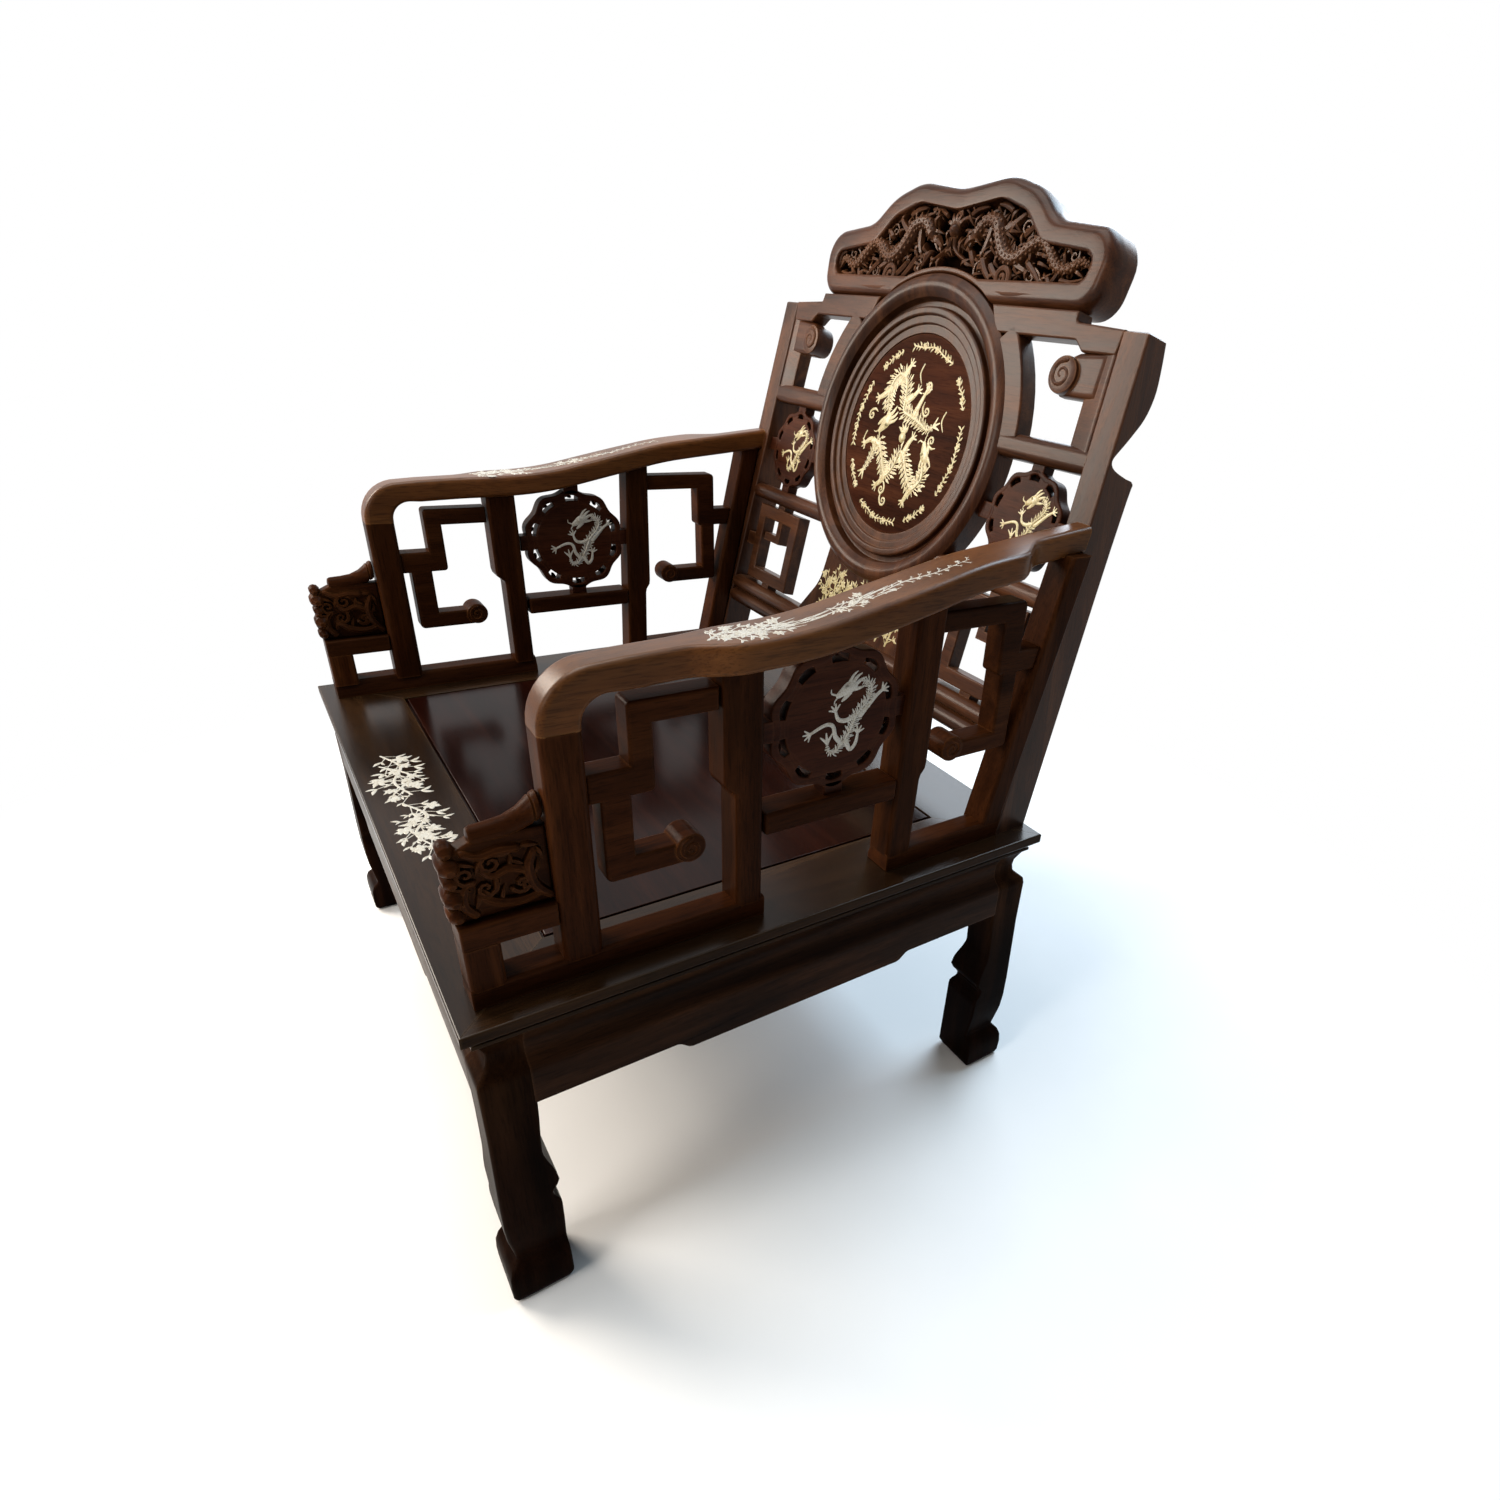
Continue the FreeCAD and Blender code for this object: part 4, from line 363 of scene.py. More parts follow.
class Build:
    """Collects lofted strips into one mesh."""

    def __init__(self):
        self.verts = []
        self.faces = []

    def loft(self, rings, closed=False):
        """Skin over rings of equal length; the ends are capped unless the rings close on each other."""
        start = len(self.verts)
        count = len(rings[0])
        for ring in rings:
            self.verts.extend(ring)
        last = len(rings) if closed else len(rings) - 1
        for i in range(last):
            low = start + i * count
            high = start + ((i + 1) % len(rings)) * count
            for k in range(count):
                after = (k + 1) % count
                self.faces.append((low + k, low + after, high + after, high + k))
        if not closed:
            self.faces.append(tuple(range(start + count - 1, start - 1, -1)))
            self.faces.append(tuple(range(start + last * count, start + (last + 1) * count)))

    def stroke(self, place, points, height, sides=8, steps=4):
        """Tapered ridge with rounded ends along a smooth line of (a, b, half-width) on a surface."""
        path = spline(points, steps)
        path = [beyond(path[0], path[1])] + path + [beyond(path[-1], path[-2])]
        rings = []
        for i, (a, b, r) in enumerate(path):
            before = path[max(i - 1, 0)]
            after = path[min(i + 1, len(path) - 1)]
            run_a, run_b = after[0] - before[0], after[1] - before[1]
            length = hypot(run_a, run_b) or 1.0
            ring = []
            for turn in turns(sides):
                side = r * cos(turn)
                spot = (a - run_b / length * side, b + run_a / length * side)
                ring.append(place(*spot, r * height * sin(turn)))
            rings.append(ring)
        self.loft(rings)

    def board(self, place, outline, front, rear, ease, steps=3):
        """Solid cut to an outline between two heights over a surface, with rounded edges."""
        rings = []
        for level, way in ((rear, 1), (front, -1)):
            for k in range(steps + 1)[::way]:
                lean = pi / 2 * k / steps
                inset = ease * (1 - sin(lean))
                height = level + way * ease * (1 - cos(lean))
                rings.append([place(a, b, height) for a, b in shrunk(outline, inset)])
        self.loft(rings)

    def turned(self, place, a, b, levels, sides):
        """Round body on a surface, from (radius, height) levels."""
        self.loft([[place(*around(a, b, radius, t), h) for t in turns(sides)] for radius, h in levels])

    def dome(self, place, a, b, radius, height, sides=12):
        """Round boss on a surface."""
        leans = [radians(-20 + 108 * k / 4) for k in range(5)]
        levels = [(radius * cos(lean), radius * height * sin(lean)) for lean in leans]
        self.turned(place, a, b, levels, sides)

    def finish(self, name, material, sharp=40.0):
        """Object made of the mesh, with clean normals, riding on the chair."""
        mesh = bpy.data.meshes.new(name)
        mesh.from_pydata(self.verts, [], self.faces)
        mesh.materials.append(material)
        made = placed(name, mesh)
        shape = bmesh.new()
        shape.from_mesh(mesh)
        bmesh.ops.recalc_face_normals(shape, faces=shape.faces)
        shape.to_mesh(mesh)
        shape.free()
        mesh.shade_smooth()
        mesh.set_sharp_from_angle(angle=radians(sharp))
        made.modifiers.new("normals", "WEIGHTED_NORMAL").keep_sharp = True
        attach(made, "root")
        return made


def lofted(rings, name, material, closed=False, sharp=40.0):
    """Piece made of one skin."""
    build = Build()
    build.loft(rings, closed)
    return build.finish(name, material, sharp=sharp)


def spiral(a, b, size, winds, start, width, hand=1):
    """Points of a line that winds in on a centre."""
    count = int(winds * 9)
    points = []
    for i in range(count + 1):
        share = i / count
        angle = radians(start) + hand * winds * 2 * pi * share
        points.append((*around(a, b, size * (1 - 0.86 * share), angle), width * (1 - 0.35 * share)))
    return points


# Surfaces that carry carving and inlay


def on_panel(a, b, h):
    return back(a, PANEL_FACE - h, RING_CENTRE + b)


def on_splat(a, b, h):
    return back(a, SPLAT_FACE - h, b)


def on_crest(a, b, h):
    return back(a, CREST_FLOOR - h, CREST_BASE + b)


def on_side_medallion(side):
    return lambda a, b, h: back(side * SIDE_MEDALLION_X + a, SIDE_MEDALLION_FACE - h, SIDE_MEDALLION_W + b)


def on_frame(side):
    """Front face of the back's frame on one side."""
    return lambda a, b, h: back(side * a, -h, b)


def on_arm(side, face=1, depth=0.0):
    """Upright plane along an arm, outside (face 1) or inside (face -1) its middle by a depth."""
    return lambda a, b, h: chair(side * (ARM_MIDDLE + face * (depth + h)), a, b)


def on_arm_medallion(side, face):
    plane = on_arm(side, face, MEDALLION_HALF)
    return lambda a, b, h: plane(MEDALLION_Y + a, MEDALLION_Z + b, h)


def on_seat(a, b, h):
    return chair(a, b, SEAT_TOP + h)


# Arm rails, swept from the front post along the rest to the back

POST_FRONT, POST_REAR = -238.0, -203.0
RAIL_TOP = [(POST_FRONT, 662, 0), (0, 671, 44), (190, 712, 25), (367, 732, 0)]
RAIL_END_SLOPE = 0.113
RAIL_THICKNESS = 28.0
RAIL_UNDER = 5.0
RAIL_OUTER = [(POST_FRONT, 388), (-118, 388), (-66, 405), (85, 408), (240, 403), (293, 375), (370, 375)]
RAIL_INNER = [(POST_FRONT, 352), (-118, 352), (-66, 346.5), (85, 345), (240, 346.5), (293, 345), (370, 345)]


def rail_top(y):
    """Height of the rail's upper face: straight runs with soft corners."""
    for i in range(1, len(RAIL_TOP) - 1):
        (y0, z0, _), (y1, z1, reach), (y2, z2, _) = RAIL_TOP[i - 1:i + 2]
        slope = (z1 - z0) / (y1 - y0)
        onward = (z2 - z1) / (y2 - y1)
        if y < y1 - reach:
            return z1 + slope * (y - y1)
        if y < y1 + reach:
            return z1 + slope * (y - y1) + (onward - slope) * (y - y1 + reach) ** 2 / (4 * reach)
    return RAIL_TOP[-1][1] + onward * (y - RAIL_TOP[-1][0])


def rail_section(side, outer, inner, round_top):
    """Rounded section between an upper and a lower point of the rail's side view."""
    (y0, z0), (y1, z1) = inner, outer
    depth = hypot(y1 - y0, z1 - z0)
    middle = (y0 + y1) / 2
    x_in, x_out = eased_between(RAIL_INNER, middle), eased_between(RAIL_OUTER, middle)
    outline = soft_box(x_in, 0.0, x_out, depth, (RAIL_UNDER, RAIL_UNDER, round_top, round_top), 5)
    return [chair(side * x, y0 + (y1 - y0) * d / depth, z0 + (z1 - z0) * d / depth) for x, d in outline]


def arm_rail(side, name):
    """Rail that turns from the front post in a round corner and ends against the stile."""
    rings = [rail_section(side, (POST_FRONT, z), (POST_REAR, z), 6.0) for z in (610.5, 612.0)]
    for k in range(1, 11):
        turn = radians(9.0 * k)
        outer = (-188.0 - 50.0 * cos(turn), 612.5 + 50.5 * sin(turn))
        inner = around(-179.0, 613.5, 24.0, pi - turn)
        rings.append(rail_section(side, outer, inner, 6.5))
    for y in range(-165, 350, 9):
        top = rail_top(y)
        rings.append(rail_section(side, (y, top), (y, top - RAIL_THICKNESS), 7.0))
    top = RAIL_TOP[-1][1]
    for lean in (-6.0, 0.0):
        ends = []
        for z in (top, top - RAIL_THICKNESS):
            ends.append((BACK_FOOT + tan(RAKE) * (z - SEAT_TOP) + lean, z + lean * RAIL_END_SLOPE))
        rings.append(rail_section(side, *ends, 7.0))
    # Wood tone painted lighter, as if the rail's top were lit from above
    made = lofted(rings, "rail_swept_" + name, wood("Y", "rubbed"))
    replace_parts(made, "arm_rail_" + name)


# Ring turned on the lathe, and the round panel in its groove

RING_PROFILE = [
    (RING_RADIUS, 30), (RING_RADIUS, 2, 2), (183.5, -10, 13), (170, 2, 1.5), (168, 13, 2), (159.7, 13, 2),
    (159.7, 3, 3), (149.5, 3, 3), (149.5, 7), (139.2, 7, 2.5), (139.2, 10), (129, 10, 0.8), (129, 14),
    (133, 14), (133, 30),
]
PANEL_PROFILE = [(132.5, 21), (132.5, 14.4), (128.6, 14.4), (128.6, 11.5), (128, PANEL_FACE)]
RING_TURNS = 144


def ring():
    profile = rounded(RING_PROFILE, 5)
    rings = []
    for angle in turns(RING_TURNS):
        rings.append([back(r * cos(angle), n, RING_CENTRE + r * sin(angle)) for r, n in profile])
    made = lofted(rings, "ring_turned", wood("Z"), closed=True, sharp=50.0)
    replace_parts(made, "ring")


def round_panel():
    panel = Build()
    panel.turned(lambda a, b, n: back(a, n, b), 0.0, RING_CENTRE, PANEL_PROFILE, RING_TURNS)
    made = panel.finish("panel_turned", wood("X", "panel"))
    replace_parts(made, "round_panel")


# Ornament drawn in strokes

HEAD = [
    [(-0.35, 0.0, 0.28), (0.0, 0.05, 0.36), (0.4, 0.0, 0.26), (0.75, -0.06, 0.16)],
    [(0.0, -0.2, 0.18), (0.35, -0.38, 0.12), (0.6, -0.46, 0.06)],
    [(-0.1, 0.3, 0.1), (-0.5, 0.6, 0.08), (-0.8, 0.68, 0.03)],
    [(-0.3, 0.2, 0.12), (-0.7, 0.4, 0.09), (-1.0, 0.44, 0.03)],
    [(-0.35, 0.0, 0.13), (-0.8, 0.1, 0.1), (-1.15, 0.1, 0.03)],
    [(-0.3, -0.2, 0.12), (-0.65, -0.3, 0.09), (-0.95, -0.34, 0.03)],
    [(0.75, 0.0, 0.05), (1.05, 0.25, 0.05), (1.0, 0.5, 0.02)],
    [(0.7, -0.1, 0.05), (1.0, -0.25, 0.04), (1.1, -0.45, 0.02)],
]


def head(build, place, a, b, heading, size, hand, height):
    """Dragon's head with jaw, horns, mane and whiskers, facing along a heading in degrees."""
    ahead, aside = around(0.0, 0.0, size, radians(heading))
    spot = lambda x, y: (a + x * ahead - y * hand * aside, b + x * aside + y * hand * ahead)
    for line in HEAD:
        build.stroke(place, [(*spot(x, y), size * r) for x, y, r in line], height, sides=6, steps=3)
    over = lambda x, y, h: place(x, y, h + 0.3 * size * height)
    build.dome(over, *spot(0.12, 0.2), 0.1 * size, 1.0, 8)


def stations(points, gap):
    """Places at even spacing along a smooth line, with half-width and direction."""
    found = []
    travelled = 0.0
    path = spline(points, 12)
    for (a0, b0, _), (a1, b1, r1) in zip(path, path[1:]):
        length = hypot(a1 - a0, b1 - b0)
        travelled += length
        if travelled >= gap:
            travelled -= gap
            found.append((a1, b1, r1, (a1 - a0) / length, (b1 - b0) / length))
    return found


def beside(station, side, behind=0.0):
    """Point to the side of a station and behind it, in shares of the half-width there."""
    a, b, r, run_a, run_b = station
    return a - (side * run_b + behind * run_a) * r, b + (side * run_a - behind * run_b) * r


def plated(build, place, body, height, gap):
    """Inlaid body: a thin spine with feathered plates on both sides."""
    build.stroke(place, [(a, b, 0.22 * r) for a, b, r in body], height * 3, sides=6, steps=5)
    for station in stations(body, gap):
        for side in (1, -1):
            plate = [(*station[:2], gap * 0.36), (*beside(station, side, 0.7), gap * 0.2)]
            build.stroke(place, plate, height * 2, sides=5, steps=2)


def fan(build, place, line, claw, stretch, root, spreads, height):
    """Claws, or the tips of a tail, that spread from the end of a line."""
    (a0, b0, _), (a1, b1, _) = line[-2:]
    heading = atan2(b1 - b0, a1 - a0)
    for spread in spreads:
        tip = around(a1, b1, stretch * claw, heading + spread)
        build.stroke(place, [(a1, b1, claw * root), (*tip, claw * 0.1)], height, sides=5, steps=2)


def dragon(build, place, body, legs, height, claw, gap=0.0, scale=0.0):
    """Traditional coiling dragon: plated or scaled body with fins, clawed legs and a split tail."""
    if gap:
        plated(build, place, body, height, gap)
    else:
        build.stroke(place, body, height, sides=10, steps=6)
    for line in legs:
        build.stroke(place, line, height * 1.1, sides=6, steps=4)
        fan(build, place, line, claw, 1.0, 0.2, (-1.0, -0.35, 0.35, 1.0), height)
    for station in stations(body, 0.75 * claw):
        r = station[2]
        for side in (1, -1):
            fin = [(*beside(station, 0.85 * side), r * 0.24), (*beside(station, 1.5 * side, 0.4), r * 0.08)]
            build.stroke(place, fin, height, sides=5, steps=2)
    for k, station in enumerate(stations(body, 1.9 * scale) if scale else ()):
        for side in (-0.66, 0.0, 0.66) if k % 2 else (-0.33, 0.33):
            rise = station[2] * height * sqrt(1 - side * side) * 0.94
            over = lambda x, y, h: place(x, y, h + rise)
            build.dome(over, *beside(station, side), scale, 0.6, 6)
    fan(build, place, body, claw, 1.4, 0.25, (-0.7, 0.0, 0.7), height)


def cloud(build, place, a, b, size, start, hand, height):
    """Curl with a trailing wisp."""
    curl = spiral(a, b, size, 1.3, start, size * 0.24, hand)
    build.stroke(place, curl, height, sides=6, steps=1)
    a0, b0, r0 = curl[0]
    way = radians(start) - hand * pi / 2
    middle = around(a0, b0, size, way)
    end = around(*middle, size, way - hand * 0.6)
    build.stroke(place, [(a0, b0, r0), (*middle, r0 * 0.9), (*end, r0 * 0.3)], height, sides=6, steps=3)


def blossom(build, place, a, b, size, height):
    """Five petals round a small boss."""
    for turn in turns(5):
        middle, tip = around(a, b, 0.55 * size, turn + a), around(a, b, 0.9 * size, turn + a)
        petal = [(a, b, size * 0.12), (*middle, size * 0.34), (*tip, size * 0.2)]
        build.stroke(place, petal, height, sides=6, steps=2)


def leaf(build, place, a, b, angle, length, height=0.25):
    """Pointed leaf that bends a little."""
    middle = around(a, b, 0.5 * length, angle)
    tip = around(*middle, 0.5 * length, angle + 0.35)
    blade = [(a, b, length * 0.06), (*middle, length * 0.17), (*tip, length * 0.03)]
    build.stroke(place, blade, height, sides=6, steps=3)


def spray(build, place, stem, size, seed, height=0.25):
    """Flowering branch: side twigs, leaves in pairs and blossoms along a stem."""
    chance = random.Random(seed)
    build.stroke(place, stem, height, sides=6, steps=5)
    path = spline(stem, 7)
    for i in range(1, len(path) - 1):
        a, b, _ = path[i]
        heading = atan2(path[i + 1][1] - path[i - 1][1], path[i + 1][0] - path[i - 1][0])
        side = 1 if i % 2 else -1
        angle = heading + side * chance.uniform(0.6, 1.2)
        end = around(a, b, size * chance.uniform(0.7, 1.5), angle)
        build.stroke(place, [(a, b, 0.8), (*end, 0.5)], height, sides=5, steps=2)
        for turn in (0.5, -0.6):
            leaf(build, place, *end, angle + turn, size * chance.uniform(0.6, 1.0), height)
        if i % 3 == 0:
            blossom(build, place, *end, size * chance.uniform(0.45, 0.65), height)


def feathers(build, place, a, b, length, count, seed):
    """Bundle of fine grass blades lying along a run."""
    chance = random.Random(seed)
    for _ in range(count):
        start = a + chance.uniform(-0.4, 0.4) * length
        side = b + chance.uniform(-6.0, 6.0)
        run = length * chance.uniform(0.35, 0.7)
        drift = run * chance.uniform(-0.22, 0.22)
        middle = (start + run / 2, side + drift / 2 + 1.0, 0.8)
        blade = [(start, side, 0.4), middle, (start + run, side + drift, 0.3)]
        build.stroke(place, blade, 0.3, sides=5, steps=2)


def garland(build, place, radius, size):
    """Broken wreath: four long and four short sprigs of upright leaves round a circle."""
    for middle, half in [(80 + 90 * k, 22) for k in range(4)] + [(34 + 90 * k, 10) for k in range(4)]:
        stem = []
        for k in range(-2, 3):
            wave = radius + 1.5 * (-1) ** k
            stem.append((*around(0.0, 0.0, wave, radians(middle + half * k / 2)), 1.0))
        build.stroke(place, stem, 0.4, sides=6)
        count = int(half * 0.62)
        for k in range(count + 1):
            angle = radians(middle + half * (2 * k / count - 1))
            spot = around(0.0, 0.0, radius, angle)
            for turn in (0.5, pi - 0.9):
                leaf(build, place, *spot, angle + turn, size * (1.0 if k % 2 else 0.75), 0.35)
            if k % 4 == 2:
                blossom(build, place, *spot, size * 0.6, 0.4)


# Dragon of the medallions, in shares of the medallion's radius
MEDALLION_BODY = [
    (0.38, 0.50, 0.05), (0.50, 0.47, 0.06), (0.55, 0.33, 0.065), (0.47, 0.17, 0.07), (0.34, 0.04, 0.075),
    (0.27, -0.10, 0.08), (0.21, -0.24, 0.075), (0.10, -0.40, 0.065), (-0.03, -0.52, 0.05),
    (-0.13, -0.47, 0.035), (-0.15, -0.34, 0.02),
]
MEDALLION_LEGS = [
    [(0.38, -0.02, 0.045), (0.50, 0.10, 0.035), (0.64, 0.24, 0.03), (0.74, 0.31, 0.025)],
    [(0.30, 0.00, 0.04), (0.14, -0.05, 0.035), (0.01, -0.01, 0.03), (-0.04, 0.12, 0.02)],
    [
        (0.08, -0.38, 0.04), (-0.02, -0.27, 0.035), (-0.07, -0.10, 0.03), (-0.20, -0.06, 0.028),
        (-0.44, -0.15, 0.022),
    ],
    [(0.16, -0.36, 0.04), (0.24, -0.52, 0.032), (0.33, -0.44, 0.03), (0.36, -0.28, 0.02)],
]


def medallion_dragon(build, place, radius):
    body, *legs = [[(radius * a, radius * b, radius * r) for a, b, r in line]
                   for line in [MEDALLION_BODY] + MEDALLION_LEGS]
    dragon(build, place, body, legs, 0.3, radius * 0.11, gap=2.6)
    head(build, place, radius * 0.16, radius * 0.42, 200.0, radius * 0.26, -1, 0.3)


# Dragons of the round panel
UPPER_BODY = [
    (-48, 28, 8), (-54, 48, 9), (-50, 66, 9), (-38, 76, 9), (-22, 68, 9), (-16, 48, 9), (-12, 31, 9),
    (8, 26, 8), (28, 20, 7), (44, 14, 5), (56, 20, 3),
]
UPPER_LEGS = [
    [(-52, 56, 5), (-66, 46, 4), (-74, 42, 3)],
    [(-30, 74, 5), (-26, 82, 4), (-22, 88, 2.5)],
    [(-14, 44, 5), (-2, 50, 4), (6, 58, 3)],
    [(10, 27, 5), (18, 46, 3.5), (25, 62, 2.5)],
]
LOWER_BODY = [
    (56, -30, 8), (60, -46, 9), (46, -62, 9), (28, -48, 9), (14, -28, 9), (1, -20, 9), (-6, -42, 9),
    (-20, -54, 9), (-38, -30, 8), (-52, -13, 8), (-60, -32, 6), (-66, -46, 4), (-72, -56, 3),
]
LOWER_LEGS = [
    [(46, -60, 5), (38, -72, 4), (34, -80, 3)],
    [(8, -24, 5), (14, -8, 4), (20, 0, 3)],
    [(-18, -52, 5), (-26, -64, 4), (-34, -70, 3)],
    [(-54, -18, 5), (-70, -14, 4), (-82, -20, 2.5)],
]
PANEL_CLOUDS = [
    (34, 36, 200, 1), (-20, -74, 30, -1), (-10, -88, 200, 1), (-82, 18, 100, 1), (60, 2, 250, -1),
    (26, 66, 300, 1),
]
GARLAND_RADIUS = 113.0


def panel_dragons(build):
    """Two dragons round a flaming pearl, with clouds and wisps."""
    dragon(build, on_panel, UPPER_BODY, UPPER_LEGS, 0.22, 9.0, gap=3.0)
    head(build, on_panel, -46.0, 14.0, 238.0, 23.0, 1, 0.22)
    dragon(build, on_panel, LOWER_BODY, LOWER_LEGS, 0.22, 9.0, gap=3.0)
    head(build, on_panel, 54.0, -16.0, 122.0, 21.0, 1, 0.22)
    build.dome(on_panel, -2.0, -2.0, 7.0, 0.3)
    for lean in (-0.7, -0.2, 0.3, 0.8):
        leaf(build, on_panel, -2.0, 2.0, pi / 2 + lean, 15.0)
    for a, b, start, hand in PANEL_CLOUDS:
        cloud(build, on_panel, a, b, 7.0, start, hand, 0.35)
    for a, b in ((-84, -4), (6, 92), (74, 40)):
        build.stroke(on_panel, [(a, b, 1.0), (a - 4, b - 12, 1.2), (a + 3, b - 24, 0.6)], 0.4, sides=6)


# Flower sprays of the seat's front rail: stem, size and seed
SEAT_SPRAYS = [
    ([(-140, -300, 1.2), (-100, -284, 1.6), (-60, -298, 1.7), (-20, -286, 1.2)], 15.0, 3),
    ([(-110, -306, 1.2), (-70, -278, 1.6), (-30, -304, 1.2)], 12.0, 5),
    ([(0, -298, 1.2), (36, -282, 1.7), (72, -300, 1.6), (108, -288, 0.9)], 15.0, 9),
    ([(20, -280, 1.2), (60, -304, 1.6), (100, -282, 1.0)], 11.0, 11),
]


def inlay():
    """Shell dragons, wreath and flower sprays."""
    cream = Build()
    garland(cream, on_panel, GARLAND_RADIUS, 7.5)
    panel_dragons(cream)
    for side in (-1, 1):
        medallion_dragon(cream, on_side_medallion(side), SIDE_MEDALLION_RADIUS * 0.98)
    for i, a in enumerate(range(-86, 83, 24)):
        top = 196.0 + 14.0 * sin(1.9 * i)
        stem = [(a, 140, 1.6), (a + 5, 162, 2.0), (a - 3, 182, 1.6), (a + 2, top, 0.8)]
        spray(cream, on_splat, stem, 10.0, 20 + i)
    made = cream.finish("inlay_back", PEARL_CREAM)
    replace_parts(made, "pearl_inlay")
    white = Build()
    for side in (-1, 1):
        for face in (-1, 1):
            medallion_dragon(white, on_arm_medallion(side, face), MEDALLION_RADIUS * 0.92)
        place = lambda a, b, h: chair(side * (377.0 + b), a, rail_top(a) + h)
        spray(white, place, [(-92, 4, 1.4), (-70, -8, 1.8), (-46, 6, 1.8), (-20, -4, 1.2)], 11.0, 7 + side)
        spray(white, place, [(-84, -10, 1.2), (-62, 8, 1.6), (-30, -6, 1.0)], 9.0, 17 + side)
        feathers(white, place, -20.0, 2.0, 70.0, 16, 27 + side)
        spray(white, place, [(30, -6, 0.8), (48, 5, 1.4), (66, -3, 1.0)], 8.0, 37 + side)
        feathers(white, place, 66.0, 0.0, 50.0, 8, 47 + side)
        spray(white, place, [(80, 2, 0.8), (115, -3, 1.0), (150, 3, 0.8), (190, 0, 0.4)], 4.5, 57 + side)
    for stem, size, seed in SEAT_SPRAYS:
        spray(white, on_seat, stem, size, seed)
    white.finish("inlay_arms", PEARL_WHITE)


# Crest: lobed board with a rounded border round a deep carved field

CREST_HALF, CREST_PEAK, CREST_SHOULDER = 280.0, 134.0, 77.0
CREST_BORDER = 29.0
CREST_DROP = 4.0
CREST_ARCH = CREST_BASE - RING_CENTRE
# Depths behind the back's face: foot of the carving, ground painted near-black as shade, backing and its
# rear
CREST_FLOOR, CREST_GROUND, CREST_BACKING, CREST_REAR = 12.0, 24.0, 36.0, 46.0
# Border's section as (inset from the edge, depth)
CREST_PROFILE = [
    (4, 48), (1, 47), (0, 44), (0, 22), (0.4, 16), (1.4, 11), (3.2, 7), (5.6, 4.2), (8.6, 2.6), (12, 2),
    (23, 2), (25.5, 2.6), (26.5, 4), (26.7, 6), (26.7, 48),
]
CREST_BODY = [
    (44, 74, 8), (60, 88, 9), (80, 84, 10), (92, 66, 10), (108, 50, 10), (128, 48, 9), (146, 60, 8.5),
    (164, 66, 8), (180, 54, 7.5), (196, 40, 7), (214, 38, 6), (230, 46, 5), (242, 42, 3),
]
CREST_LEGS = [
    [(88, 74, 6), (106, 84, 5), (120, 94, 3.5)],
    [(118, 50, 6), (130, 41, 5), (146, 35, 3.5)],
    [(160, 66, 5.5), (176, 76, 4.5), (190, 70, 3)],
    [(70, 84, 5), (66, 64, 4.5), (60, 52, 3)],
]
CREST_WISPS = [
    [(84, 40, 5), (96, 30, 5), (110, 24, 4), (122, 18, 3)], [(66, 46, 5), (76, 34, 5), (88, 24, 4)],
    [(148, 42, 4.5), (160, 34, 4), (172, 24, 3)], [(200, 60, 4), (214, 64, 4), (228, 60, 2.5)],
    [(206, 26, 4), (222, 24, 4), (238, 28, 2.5)], [(184, 28, 3.5), (192, 24, 3.5), (204, 50, 2)],
    [(130, 72, 4.5), (140, 80, 4), (150, 84, 2.5)], [(98, 98, 4), (84, 104, 4), (70, 106, 2.5)],
    [(40, 54, 4), (48, 44, 4), (52, 38, 2.5)], [(24, 96, 3.5), (36, 102, 3.5), (50, 104, 2)],
    [(236, 56, 3.5), (246, 50, 3.5), (250, 36, 2)], [(146, 20, 3), (160, 20, 3.5), (178, 19, 3)],
]
CREST_CLOUDS = [(156, 30, 60, 1), (216, 52, 120, -1), (128, 80, 20, 1), (62, 38, 200, -1)]
CREST_LEAVES = 200


def crest_outline(inset):
    """Outline of the crest drawn in from its edge; its lower side arches over the ring."""
    end = CREST_HALF - inset
    low = 0.9 * inset - CREST_DROP * max(0.0, 1 - inset / CREST_BORDER)
    peak, shoulder = CREST_PEAK - inset, CREST_SHOULDER - inset
    ease = 1 - 0.65 * inset / CREST_BORDER
    right = [
        (end - 9, low, 30), (end + 1, shoulder + 2, 36), (0.64 * end, shoulder + 13, 60),
        (0.5 * end, peak - 12, 95), (0.31 * end, peak + 3, 90),
    ]
    left = [(-a, b, r) for a, b, r in reversed(right)]
    line = rounded([(a, b, r * ease) for a, b, r in right + [(0.0, peak - 8, 150)] + left], 8)
    reach = RING_RADIUS + 0.3 * inset
    spread = acos((CREST_ARCH + low) / reach)
    for k in range(25):
        angle = spread * (k / 12 - 1)
        line.append((reach * sin(angle), reach * cos(angle) - CREST_ARCH))
    return line


